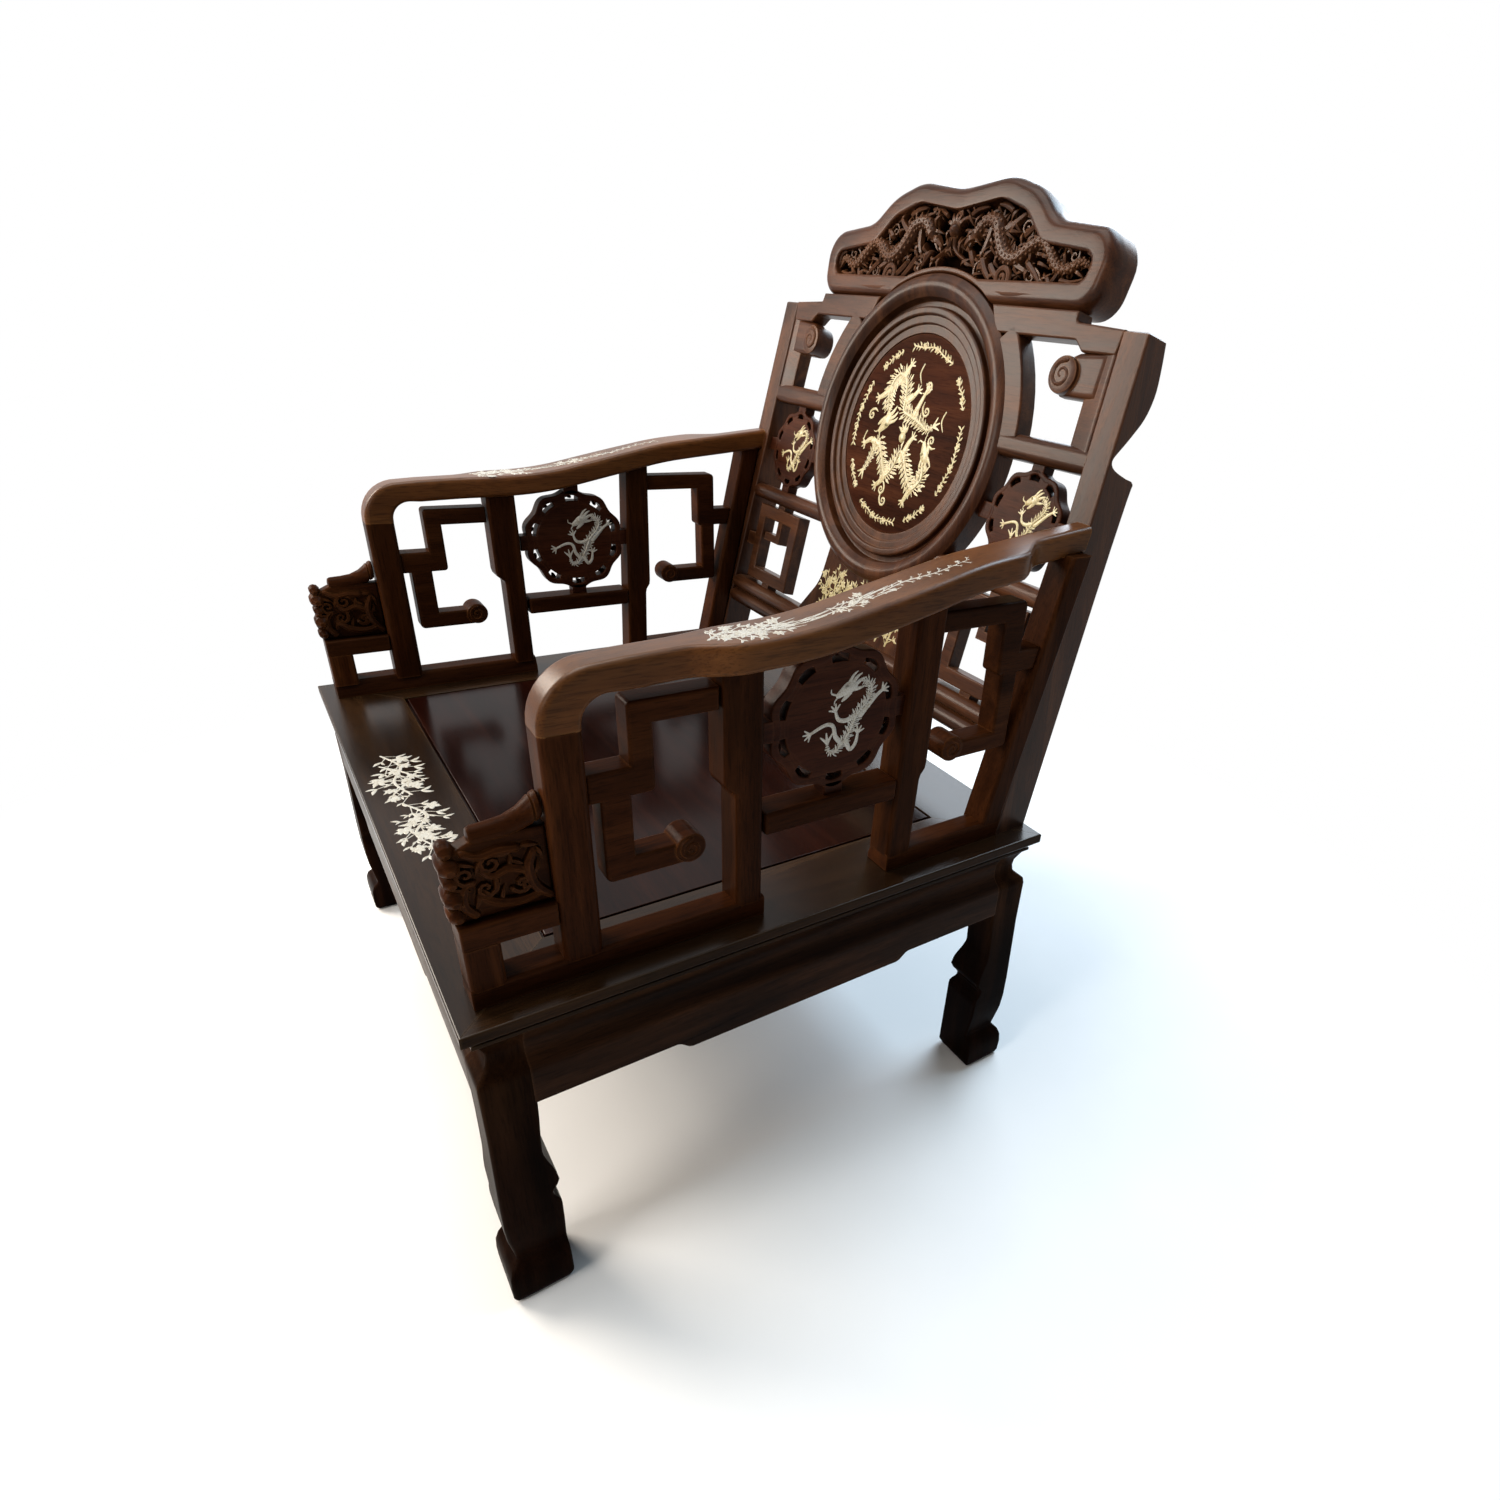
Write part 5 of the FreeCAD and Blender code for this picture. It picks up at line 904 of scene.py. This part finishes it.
def crest_carving(build):
    """Two scaled dragons among clouds, facing a flaming pearl; scrolls curl up beside the ring."""
    for flip in (1, -1):
        mirror = lambda a, b, h: on_crest(flip * a, b, h)
        dragon(build, mirror, CREST_BODY, CREST_LEGS, 1.25, 10.0, scale=2.0)
        head(build, mirror, 34.0, 68.0, 205.0, 17.0, -1, 1.25)
        for line in CREST_WISPS:
            build.stroke(mirror, line, 1.5)
        for a, b, start, hand in CREST_CLOUDS:
            cloud(build, mirror, a, b, 9.0, start, hand, 1.6)
        for i, (a, b, _) in enumerate(spline(CREST_WISPS[0] + CREST_WISPS[2], 2)):
            leaf(build, mirror, a, b + 4, 0.8 + i, 15.0, 1.3)
        raised = lambda a, b, h: mirror(a, b, h + CREST_FLOOR - 6.0)
        scroll = [(222, 10, 2), (190, 10, 4), (150, 9, 5), (124, 9, 5)]
        scroll += spiral(112.0, 26.0, 15.0, 1.7, 250.0, 4.2)
        build.stroke(raised, scroll, 0.9, steps=2)
    for a, b, c in ((6, 16, 30), (-6, -16, -30)):
        build.stroke(on_crest, [(a * 0.6, 70, 3.5), (a, 60, 3), (b, 52, 3), (c, 46, 2)], 2.0)
    build.dome(on_crest, 0.0, 78.0, 9.0, 1.3)
    for lean in (-1.0, -0.5, 0.0, 0.5, 1.0):
        leaf(build, on_crest, 0.0, 80.0, pi / 2 + lean, 24.0, 2.0)


def inside(outline, a, b):
    """Whether a point lies inside a closed outline."""
    crossed = 0
    for (a0, b0), (a1, b1) in zip(outline, outline[1:] + outline[:1]):
        if (b0 > b) != (b1 > b) and a < a0 + (b - b0) / (b1 - b0) * (a1 - a0):
            crossed += 1
    return crossed % 2 == 1


def undergrowth(build):
    """Leaves scattered over the field behind the dragons."""
    chance = random.Random(12)
    field = crest_outline(CREST_BORDER)
    sunk = lambda x, y, h: on_crest(x, y, h - 3.0)
    grown = 0
    while grown < CREST_LEAVES:
        a, b = chance.uniform(-260.0, 260.0), chance.uniform(14.0, 118.0)
        if inside(field, a, b):
            angle, length = chance.uniform(0.0, 6.28), chance.uniform(15.0, 22.0)
            leaf(build, sunk, a, b, angle, length, chance.uniform(2.6, 3.6))
            grown += 1


def crest():
    on_level = lambda inset, n: [back(a, n, CREST_BASE + b) for a, b in crest_outline(inset)]
    rings = [on_level(inset, n) for inset, n in CREST_PROFILE]
    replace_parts(lofted(rings, "crest_board", wood("X"), closed=True), "crest")
    # The ground behind the carving is painted near-black: painted shade in the carving's deep gaps
    for name, front, rear, tone in (
        ("ground", CREST_GROUND, CREST_BACKING, "hollow"), ("backing", CREST_BACKING, CREST_REAR, "plain"),
    ):
        lofted([on_level(CREST_BORDER - 4.0, n) for n in (front, rear)], "crest_" + name, wood("X", tone))
    carving = Build()
    crest_carving(carving)
    undergrowth(carving)
    carving.finish("crest_carving", wood("X", carved=True))


# Pierced medallions, in shares of the radius; lugs as corners in millimetres

LOBES = 10
RIM_WIDTH = 0.12
BRIDGE_SHARE = 0.52
RIM_CURL = [(0.93, 0.0, 0.06), (0.87, 0.05, 0.045), (0.83, -0.01, 0.03)]
ARM_LUGS = [(-82, -11, -68, 11), (68, -11, 82, 11), (-11, -83, 11, -68), (-11, 68, 11, 83)]
SIDE_LUGS = [(-75, -10, -54, 10), (54, -10, 75, 10), (-10, -66.5, 10, -54), (-10, 54, 10, 66.5)]


def medallion(build, place, radius, thickness, lugs):
    """Scalloped rim, flat middle, wide bridges and small curls between them, and lugs to the neighbours."""
    at = lambda share, angle: around(0.0, 0.0, share * radius, angle)
    width = RIM_WIDTH * radius
    band = rounded([(0, -thickness, 2), (0, 0, 2), (width, 0, 2), (width, -thickness, 2)], 3)
    rim = []
    for angle in turns(LOBES * 12):
        edge = 0.965 - 0.035 * cos(LOBES * angle)
        rim.append([place(*at(edge - inward / radius, angle), h) for inward, h in band])
    build.loft(rim, closed=True)
    levels = ((0.75, -thickness), (0.775, 2.0 - thickness), (0.775, -2.0), (0.768, -0.6), (0.75, 0.0))
    build.turned(place, 0.0, 0.0, [(share * radius, h) for share, h in levels], 96)
    core = lambda a, b, h: place(a, b, h - thickness / 2)
    half = BRIDGE_SHARE * pi / LOBES
    for angle in turns(LOBES):
        first, last = angle - half, angle + half
        bridge = [at(0.74, first), at(0.93, first), at(0.93, last), at(0.74, last)]
        build.board(place, bridge, -0.2, 0.2 - thickness, 1.5)
        curl = [(*at(share, angle + pi / LOBES + turn), r * radius) for share, turn, r in RIM_CURL]
        build.stroke(core, curl, thickness * 0.4 / (RIM_CURL[0][2] * radius))
    for a0, b0, a1, b1 in lugs:
        build.board(place, [(a0, b0), (a1, b0), (a1, b1), (a0, b1)], 0.0, -thickness, 1.5)


def medallions():
    for side, name in SIDES:
        arm = Build()
        medallion(arm, on_arm_medallion(side, 1), MEDALLION_RADIUS, 2 * MEDALLION_HALF, ARM_LUGS)
        made = arm.finish("medallion_arm_" + name, wood("Y", "red", carved=True))
        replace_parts(made, "arm_medallion_" + name)
        rear = Build()
        place = on_side_medallion(side)
        medallion(rear, place, SIDE_MEDALLION_RADIUS, SIDE_MEDALLION_THICKNESS, SIDE_LUGS)
        made = rear.finish("medallion_side_" + name, wood("X", "red", carved=True))
        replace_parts(made, "side_medallion_" + name)


# Carved panels at the fronts of the arms, as (depth, height) in the chair

WINDOW_RAIL = [(-317, 433), (POST_FRONT, 433), (POST_FRONT, 456), (-317, 456)]
CARVED_HALF = 8.0
PANEL_EDGE = [
    (-315, 456), (-323, 481.7, 12), (-315, 499.7, 10), (-321, 517.6, 10), (-295, 530, 14), (POST_FRONT, 530),
    (POST_FRONT, 456),
]
PANEL_STEMS = [
    [(-240, 462, 4), (-252, 476, 5), (-256, 496, 5), (-250, 512, 3.5)],
    [(-246, 470, 4), (-264, 466, 5), (-282, 470, 5), (-296, 480, 3.5)],
    [(-256, 492, 4), (-270, 500, 4.5), (-284, 496, 4), (-292, 504, 3)],
    [(-262, 516, 4), (-276, 518, 4.5), (-292, 516, 4), (-304, 522, 3)],
    [(-300, 462, 4), (-308, 474, 4.5), (-306, 490, 4), (-298, 494, 3)],
]
PANEL_LEAVES = [
    (-250, 478, 2.6), (-254, 486, 1.0), (-258, 498, 2.4), (-262, 470, 1.4), (-276, 484, 4.4),
    (-286, 472, 1.9), (-272, 498, 1.2), (-280, 498, 4.5), (-268, 512, 2.9), (-290, 514, 4.2),
    (-302, 486, 2.6), (-296, 508, 2.6), (-244, 500, 1.8), (-246, 514, 2.8), (-252, 464, 2.9),
    (-300, 468, 1.2), (-312, 470, 1.4), (-308, 506, 1.9),
]
PANEL_CURLS = [(-262, 482, 200, 1), (-290, 486, 20, -1), (-284, 508, 120, 1), (-304, 502, 300, -1)]
PANEL_LOBES = [(464, 9, 7), (481, 11, 8), (497, 9, 6.5), (511, 11, 8), (524, 7, 6)]
PANEL_ROLL = [
    (-297, 531, 3), (-296, 531, 7), (-293, 531, 8.7), (-280, 531.5, 9), (-268, 533, 9.2), (-257, 537, 10),
    (-250, 541, 11.4), (-247, 543, 12.2), (-245.5, 544, 11), (-244.5, 544.5, 12.4), (-241.5, 546, 12.4),
    (-239.6, 546.5, 11), (-239, 547, 5),
]


def carved_panel(side, name):
    """Foliage panel over the small window, lobed at its front edge and with a flaring roll along its top."""
    build = Build()
    middle = on_arm(side)
    build.board(middle, WINDOW_RAIL, ARM_HALF, -ARM_HALF, 3.0)
    build.board(middle, rounded(PANEL_EDGE, 5), CARVED_HALF, -CARVED_HALF, 3.0)
    for face in (1, -1):
        place = on_arm(side, face, CARVED_HALF)
        for line in PANEL_STEMS:
            build.stroke(place, line, 1.2)
        for a, b, angle in PANEL_LEAVES:
            leaf(build, place, a, b, angle, 17.0, 1.5)
        for a, b, start, hand in PANEL_CURLS:
            build.stroke(place, spiral(a, b, 9.0, 1.2, start, 3.2, hand), 1.5, sides=6, steps=1)
    edge = lambda a, b, h: chair(side * (ARM_MIDDLE + a), -314.0 - h, b)
    for z, half, r in PANEL_LOBES:
        build.stroke(edge, [(-half, z, r), (0, z + 1.5, r * 1.1), (half, z, r)], 1.0, sides=10)
    roll = []
    for y, z, r in PANEL_ROLL:
        roll.append([chair(side * ARM_MIDDLE + r * cos(t), y, z + r * sin(t)) for t in turns(28)])
    build.loft(roll)
    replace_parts(build.finish("panel_carved_" + name, wood("Y", "arm", True)), "carved_panel_" + name)


FRETS = {
    "front": [
        (-203, 540), (-193, 540), (-193, 458, 6), (-114.5, 458), (-114.5, 480), (-166, 480), (-166, 540),
        (-144, 540, 5), (-144, 604), (-83, 604), (-83, 626), (-166, 626, 5), (-166, 568), (-203, 568),
    ],
    "rear": [
        (302, 582), (308, 608), (278, 608), (278, 663, 6), (158, 663), (158, 641), (248, 641), (248, 582, 5),
        (254, 582), (254, 514), (194.4, 514), (194.4, 492), (278, 492, 6), (278, 582),
    ],
}
FRET_HALF = 14.0
FRET_ROLLS = {"front": (-114.5, 473.0, 1), "rear": (194.4, 507.0, -1)}
FRET_ROLL_PROFILE = [(12, -16), (14.4, -15.2), (15, -13.5), (15, 13.5), (14.4, 15.2), (12, 16)]


def fret(side, name, end):
    """Stepped key fret that ends in a roll."""
    build = Build()
    middle = on_arm(side)
    build.board(middle, rounded(FRETS[end], 4), FRET_HALF, -FRET_HALF, 3.5)
    y, z, hand = FRET_ROLLS[end]
    build.turned(middle, y, z, FRET_ROLL_PROFILE, 32)
    for face in (-1, 1):
        place = on_arm(side, face, FRET_ROLL_PROFILE[-1][1])
        build.stroke(place, spiral(y, z, 11.0, 1.5, 90.0, 2.2, hand), 0.7, steps=2)
    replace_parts(build.finish("fret_" + end + "_" + name, wood("Y", "arm")), end + "_fret_" + name)


# Base: legs and aprons share one hollow waist; (height, inset from the seat's edge)

WAIST = [
    (298, 6), (304, 7.2), (306.5, 10), (309, 14), (314, 17.8), (322, 19), (331, 18), (340, 14), (347, 10.5),
]
LEG_OUTER = [
    (0, 4), (3, 1), (8, -0.5), (24, -1), (36, 0), (44, 3), (48, 6.5), (51, 9.5), (55, 10.5), (70, 8),
    (90, 5), (110, 4), (140, 4), (190, 5), (240, 6),
] + WAIST
LEG_INNER = [
    (0, 53), (3, 58), (10, 61), (112, 60.5), (119, 60), (131, 54), (136, 53.5), (147, 60), (149.5, 61),
    (152, 60.5), (196, 50), (262, 53), (347, 53),
]
LEG_STATIONS = [
    0, 1.5, 3, 5, 8, 10, 16, 24, 30, 36, 40, 44, 46, 48, 51, 53, 55, 60, 65, 70, 80, 90, 100, 110, 112, 119,
    124, 127, 131, 136, 140, 144, 147, 149.5, 152, 160, 170, 180, 190, 196, 215, 240, 262,
] + [z for z, _ in WAIST]
APRON_LOW, APRON_EDGE, APRON_REAR = 251.0, 261.0, 36.0
APRON_LEDGE = 284.0
APRON_TOP, APRON_TOP_REAR = 347.0, 53.0


def leg(side, way, name):
    """Square leg with a lip on its inner sides over a foot that kicks out."""
    rings = []
    for z in LEG_STATIONS:
        outer, inner = straight_between(LEG_OUTER, z), eased_between(LEG_INNER, z)
        place = lambda a, b: chair(side * (SEAT_HALF_WIDTH - a), way * (SEAT_HALF_DEPTH - b), z)
        rings.append([place(*p) for p in soft_box(outer, outer, inner, inner, (4.0, 2.5, 2.5, 2.5), 4)])
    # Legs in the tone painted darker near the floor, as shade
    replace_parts(lofted(rings, "foot_" + name, wood("Z", "dim")), "leg_" + name)


def apron(name, axis, way):
    """Waist and apron of one side, with a lower edge that steps down in the middle."""
    half = (SEAT_HALF_WIDTH if axis == "X" else SEAT_HALF_DEPTH) - 51.0
    drop = 0.47 * half
    steps = [half, drop + 12, drop + 8, drop + 4, drop, drop - 4]
    rings = []
    for s in [-step for step in steps] + steps[::-1]:
        low = eased_between([(drop - 4, APRON_LOW), (drop + 12, APRON_EDGE)], abs(s))
        section = [
            (APRON_TOP, APRON_TOP_REAR), (APRON_LEDGE, APRON_TOP_REAR), (APRON_LEDGE, APRON_REAR),
            (low + 2, APRON_REAR), (low, APRON_REAR - 2), (low, 8.5), (low + 0.7, 6.7), (low + 2.5, 6),
        ] + WAIST
        if axis == "X":
            rings.append([chair(s, way * (SEAT_HALF_DEPTH - inset), z) for z, inset in section])
        else:
            rings.append([chair(way * (SEAT_HALF_WIDTH - inset), s, z) for z, inset in section])
    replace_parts(lofted(rings, "skirt_" + name, wood(axis, "skirt")), "apron_" + name)


# Posts of the arms: front and rear edges as (height, depth), and the rounding of their corners
POST_FOOT = 389.5
POSTS = {
    "front_post": (
        [(POST_FOOT, POST_FRONT), (611, POST_FRONT)], [(POST_FOOT, POST_REAR), (611, POST_REAR)], 6.0,
    ),
    "stub_post": ([(POST_FOOT, -317), (434.5, -317)], [(POST_FOOT, -287), (434.5, -287)], 4.0),
    "mid_post": (
        [(POST_FOOT, -69), (512, -69), (518, -70.5), (526, -79.5), (532, -81), (646, -81)],
        [(POST_FOOT, -41), (646, -41)], 4.5,
    ),
    "rear_mid_post": (
        [(POST_FOOT, 115.8), (680, 129)],
        [(POST_FOOT, 148), (480, 151.5), (486, 153), (493, 158), (500, 159), (680, 163.4)], 4.5,
    ),
    "rear_post": ([(POST_FOOT, 257.2), (704, 330.9)], [(POST_FOOT, 287.2), (704, 360.9)], 4.5),
}


def posts(side, name):
    for node, (front, rear, ease) in POSTS.items():
        rings = []
        for z in sorted({z for z, _ in front + rear}):
            y0, y1 = straight_between(front, z), straight_between(rear, z)
            outline = soft_box(ARM_MIDDLE - ARM_HALF, y0, ARM_MIDDLE + ARM_HALF, y1, [ease] * 4, 4)
            rings.append([chair(side * x, y, z) for x, y in outline])
        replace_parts(lofted(rings, node + "_rounded_" + name, wood("Z", "arm")), node + "_" + name)


# Frame of the back: stiles, shoulder rails, side rails, brackets and the double bead under the splat

STILE_FOOT, STILE_LEAN, STILE_WIDTH, STILE_LENGTH = 353.0, 27.0, 35.0, 560.0
STILE_TRIM = 1.5
STILE_DEPTH = [
    (-6, 48), (300, 48), (405, 49.5), (423, 50), (425.5, 36), (428, 20), (431, 10), (435, 5.5), (440, 5.5),
    (447, 10), (458, 18), (470, 26), (483, 34), (497, 39), (516, 41), (540, 37), (STILE_LENGTH, 32),
]
# Side rails: ends across and edges up the slope
SIDE_RAILS = {"upper_side_rail": (188, 334, 417, 445), "lower_side_rail": (132, 342, 265, 288)}
SHOULDER = [
    (115, 578), (256, 577), (259, 566, 3), (328, 562.5), (326, 537), (277, 537, 5), (264, 548, 8),
    (133, 548),
]
ROLL_X, ROLL_W = 264.0, 512.0
ROLL_PROFILE = [(17, -27), (19.4, -26.3), (20, -24), (20, 1), (19.4, 3.3), (16.5, 4), (8, 5)]
BRACKET_ARM = [(318, 491), (318, 540), (274, 537), (260, 531), (260, 491)]
# Filler beside the ring as (radius, degrees), and section of the strip beside the stile
FILLER = ((221.0, range(7, 43, 5)), (192.0, range(42, 6, -5)))
STRIP = [
    (1, BACK_RAIL), (1, 4), (-1, 1.6), (-3, 0.8), (-6, 1.4), (-28, 5), (-31, 6), (-32, 8), (-32, BACK_RAIL),
]
BEAD_DEPTH, BEAD_RADIUS = 10.0, 11.7


def stile_edge(w):
    """Inner edge of a stile at a height up the slope."""
    return STILE_FOOT - STILE_LEAN * w / STILE_LENGTH


def stile(side, name):
    rings = []
    for w, depth in spline(STILE_DEPTH, 3) + [(STILE_LENGTH + STILE_TRIM, 30.0)]:
        trim = STILE_TRIM if w > STILE_LENGTH else 0.0
        x0, x1 = stile_edge(w) + trim, stile_edge(w) + STILE_WIDTH - trim
        outline = soft_box(x0, trim, x1, depth, [2.5] * 4, 3)
        rings.append([back(side * x, n, w) for x, n in outline])
    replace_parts(lofted(rings, "stile_shaped_" + name, wood("Z")), "stile_" + name)


def side_rails(side, name):
    """Half-round rails between the ring and the stile, and the shoulder rail over them."""
    for node, (x0, x1, w0, w1) in SIDE_RAILS.items():
        section = soft_box(BACK_RAIL, w0, 0.0, w1, (3.0, 9.5, 9.5, 3.0), 6)
        rings = [[back(side * x, n, w) for n, w in section] for x in (x0, x1)]
        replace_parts(lofted(rings, node + "_round_" + name, wood("X")), node + "_" + name)
    build = Build()
    build.board(on_frame(side), rounded(SHOULDER, 5), 0.0, -BACK_RAIL, 2.5)
    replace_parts(build.finish("shoulder_" + name, wood("X")), "top_rail_" + name)


def bracket(side, name):
    """Rolled bracket under the shoulder rail, filler beside the ring and sloping strip beside the stile."""
    build = Build()
    face = on_frame(side)
    build.board(face, BRACKET_ARM, -1.0, -BACK_RAIL, 8.0, 5)
    build.turned(face, ROLL_X, ROLL_W, ROLL_PROFILE, 36)
    over = lambda a, b, h: face(a, b, h + 3.5)
    build.stroke(over, spiral(ROLL_X, ROLL_W, 15.0, 1.5, 80.0, 3.0), 1.0, steps=2)
    filler = [around(0.0, RING_CENTRE, radius, radians(lean)) for radius, leans in FILLER for lean in leans]
    build.board(face, filler, 0.0, -BACK_RAIL, 2.5)
    build.loft([[back(side * (stile_edge(w) + a), n, w) for a, n in STRIP] for w in (440.0, 548.0)])
    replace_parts(build.finish("bracket_rolled_" + name, wood("X")), "scroll_bracket_" + name)


def bottom_rail():
    """Rail with two beads."""
    section = [(BACK_RAIL, 84.5), (BACK_RAIL, 131.5)]
    for middle in (119.7, 96.3):
        for k in range(13):
            turn = pi / 2 - pi * k / 12
            section.append((BEAD_DEPTH - BEAD_RADIUS * cos(turn), middle + BEAD_RADIUS * sin(turn)))
    rings = [[back(x, n, w) for n, w in section] for x in (-350.0, 350.0)]
    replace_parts(lofted(rings, "rail_beaded", wood("X")), "bottom_rail")


# Plain pieces kept from the solid model: grain, tone and softening of the edges
DRESSING = {
    "seat_rail_front": ("X", "seat", 1.2), "seat_rail_rear": ("X", "seat", 1.2),
    "seat_rail_left": ("Y", "seat", 1.2), "seat_rail_right": ("Y", "seat", 1.2),
    "seat_panel": ("X", "deep", 1.0), "seat_battens": ("Y", "plain", 1.2),
    "front_sill": ("Y", "arm", 3.0), "rear_sill": ("Y", "arm", 3.0),
    "medallion_rail": ("Y", "arm", 4.0), "lower_fret": ("X", "plain", 2.5),
}
USUAL_DRESSING = ("Z", "plain", 1.2)


def dress(name, node):
    looks = [look for start, look in DRESSING.items() if name.startswith(start)]
    axis, tone, width = (looks + [USUAL_DRESSING])[0]
    node.data.materials.clear()
    node.data.materials.append(wood(axis, tone))
    weld = node.modifiers.new("weld", "WELD")
    weld.merge_threshold = 0.00002
    planar = node.modifiers.new("planar", "DECIMATE")
    planar.decimate_type = "DISSOLVE"
    planar.angle_limit = radians(0.6)
    soft = node.modifiers.new("soft edges", "BEVEL")
    soft.width = width * MM
    soft.segments = 3
    soft.limit_method = "ANGLE"
    soft.angle_limit = radians(38.0)
    node.modifiers.new("normals", "WEIGHTED_NORMAL")


for name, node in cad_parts.items():
    dress(name, node)
for side, name in SIDES:
    arm_rail(side, name)
    carved_panel(side, name)
    fret(side, name, "front")
    fret(side, name, "rear")
    posts(side, name)
    stile(side, name)
    side_rails(side, name)
    bracket(side, name)
    apron(name, "Y", side)
    leg(side, -1, "front_" + name)
    leg(side, 1, "rear_" + name)
apron("front", "X", -1)
apron("rear", "X", 1)
bottom_rail()
ring()
round_panel()
crest()
medallions()
inlay()


# Studio: pale floor and backdrop, soft lamps

FLOOR_HALF = 9.0
WORLD_LEVEL = 0.11
LAMP_AIM = Vector((0.0, 0.0, 0.55))
# Place, width, height, power and tint of each lamp
LAMPS = {
    "key": ((-1.9, -1.7, 1.7), 1.3, 1.3, 100.0, (1.0, 0.90, 0.78)),
    "front": ((0.5, -2.6, 1.8), 1.2, 1.2, 45.0, (1.0, 0.93, 0.84)),
    "top": ((-0.5, -0.5, 3.2), 1.8, 1.8, 55.0, (1.0, 0.96, 0.90)),
    "sky": ((0.1, 1.8, 2.9), 1.4, 0.9, 55.0, (0.62, 0.83, 1.0)),
    "window": ((-0.8, 2.1, 1.9), 2.2, 1.1, 55.0, (0.78, 0.89, 1.0)),
}


def seen_directly(tree):
    """One for camera, mirror and glass rays, so that they meet the white surroundings."""
    rays = add(tree, "LightPath").outputs
    mirrored = add(tree, "Math", rays["Is Glossy Ray"], rays["Is Transmission Ray"], operation="MAXIMUM")
    seen = add(tree, "Math", rays["Is Camera Ray"], mirrored.outputs["Value"], operation="MAXIMUM")
    return seen.outputs["Value"]


def studio_floor():
    """Pale floor that keeps the shadow near the chair and goes over into the white surroundings."""
    material, tree, shader, place = new_material("studio_floor")
    speckle = stretched_noise(tree, place, 3.0, 3.0, "X", 3.0)
    tint = ramp(tree, speckle, [(0.3, grey(0.88)), (0.7, grey(0.92))])
    wire(tree, shader, Base_Color=tint, Roughness=0.9, Specular_IOR_Level=0.1)
    distance = add(tree, "VectorMath", place, operation="LENGTH").outputs["Value"]
    far = add(tree, "MapRange", distance, interpolation_type="SMOOTHSTEP", From_Min=0.62, From_Max=1.35)
    shown = add(tree, "Math", far.outputs["Result"], seen_directly(tree), operation="MULTIPLY")
    white = add(tree, "Emission")
    both = add(tree, "MixShader", shown.outputs["Value"], shader.outputs["BSDF"], white.outputs["Emission"])
    wire(tree, tree.nodes["Material Output"], Surface=both.outputs["Shader"])
    mesh = bpy.data.meshes.new("floor")
    corners = [(a * FLOOR_HALF, b * FLOOR_HALF, 0.0) for a, b in ((-1, -1), (1, -1), (1, 1), (-1, 1))]
    mesh.from_pydata(corners, [], [(0, 1, 2, 3)])
    mesh.materials.append(material)
    floor = placed("floor", mesh)


def studio():
    studio_floor()
    world = bpy.data.worlds.new("studio")
    scene.world = world
    world.use_nodes = True
    tree = world.node_tree
    level = add(tree, "MapRange", seen_directly(tree), To_Min=WORLD_LEVEL, To_Max=1.0)
    wire(tree, tree.nodes["Background"], Color=grey(1.0), Strength=level.outputs["Result"])
    for name, (spot, wide, high, power, tint) in LAMPS.items():
        data = bpy.data.lights.new(name, "AREA")
        data.shape = "RECTANGLE"
        data.size = wide
        data.size_y = high
        data.energy = power
        data.color = tint
        lamp = placed(name, data)
        lamp.location = spot
        lamp.rotation_euler = (LAMP_AIM - Vector(spot)).to_track_quat("-Z", "Y").to_euler()


studio()


# Camera solved from the photo's straight edges

YAW, PITCH, ROLL = radians(51.5), radians(-29.6), radians(-5.4)
FOCAL, CENTRE_X, CENTRE_Y, FRAME = 859.7, 880.0, 806.1, 1500.0
SENSOR = 36.0
EYE = chair(1006.8, -393.1, 911.0)


def photo_camera():
    forward = Vector((-sin(YAW) * cos(PITCH), cos(YAW) * cos(PITCH), sin(PITCH)))
    level = Vector((cos(YAW), sin(YAW), 0.0))
    down = forward.cross(level)
    right = level * cos(ROLL) + down * sin(ROLL)
    under = down * cos(ROLL) - level * sin(ROLL)
    data = bpy.data.cameras.new("camera")
    data.sensor_width = SENSOR
    data.lens = FOCAL * SENSOR / FRAME
    data.shift_x = (FRAME / 2 - CENTRE_X) / FRAME
    data.shift_y = (CENTRE_Y - FRAME / 2) / FRAME
    data.clip_start = 0.05
    scene.camera = placed("camera", data)
    turn = Matrix((right, -under, -forward)).transposed()
    scene.camera.matrix_world = Matrix.Translation(EYE) @ turn.to_4x4()


photo_camera()
bpy.context.scene.view_settings.view_transform = "Standard"
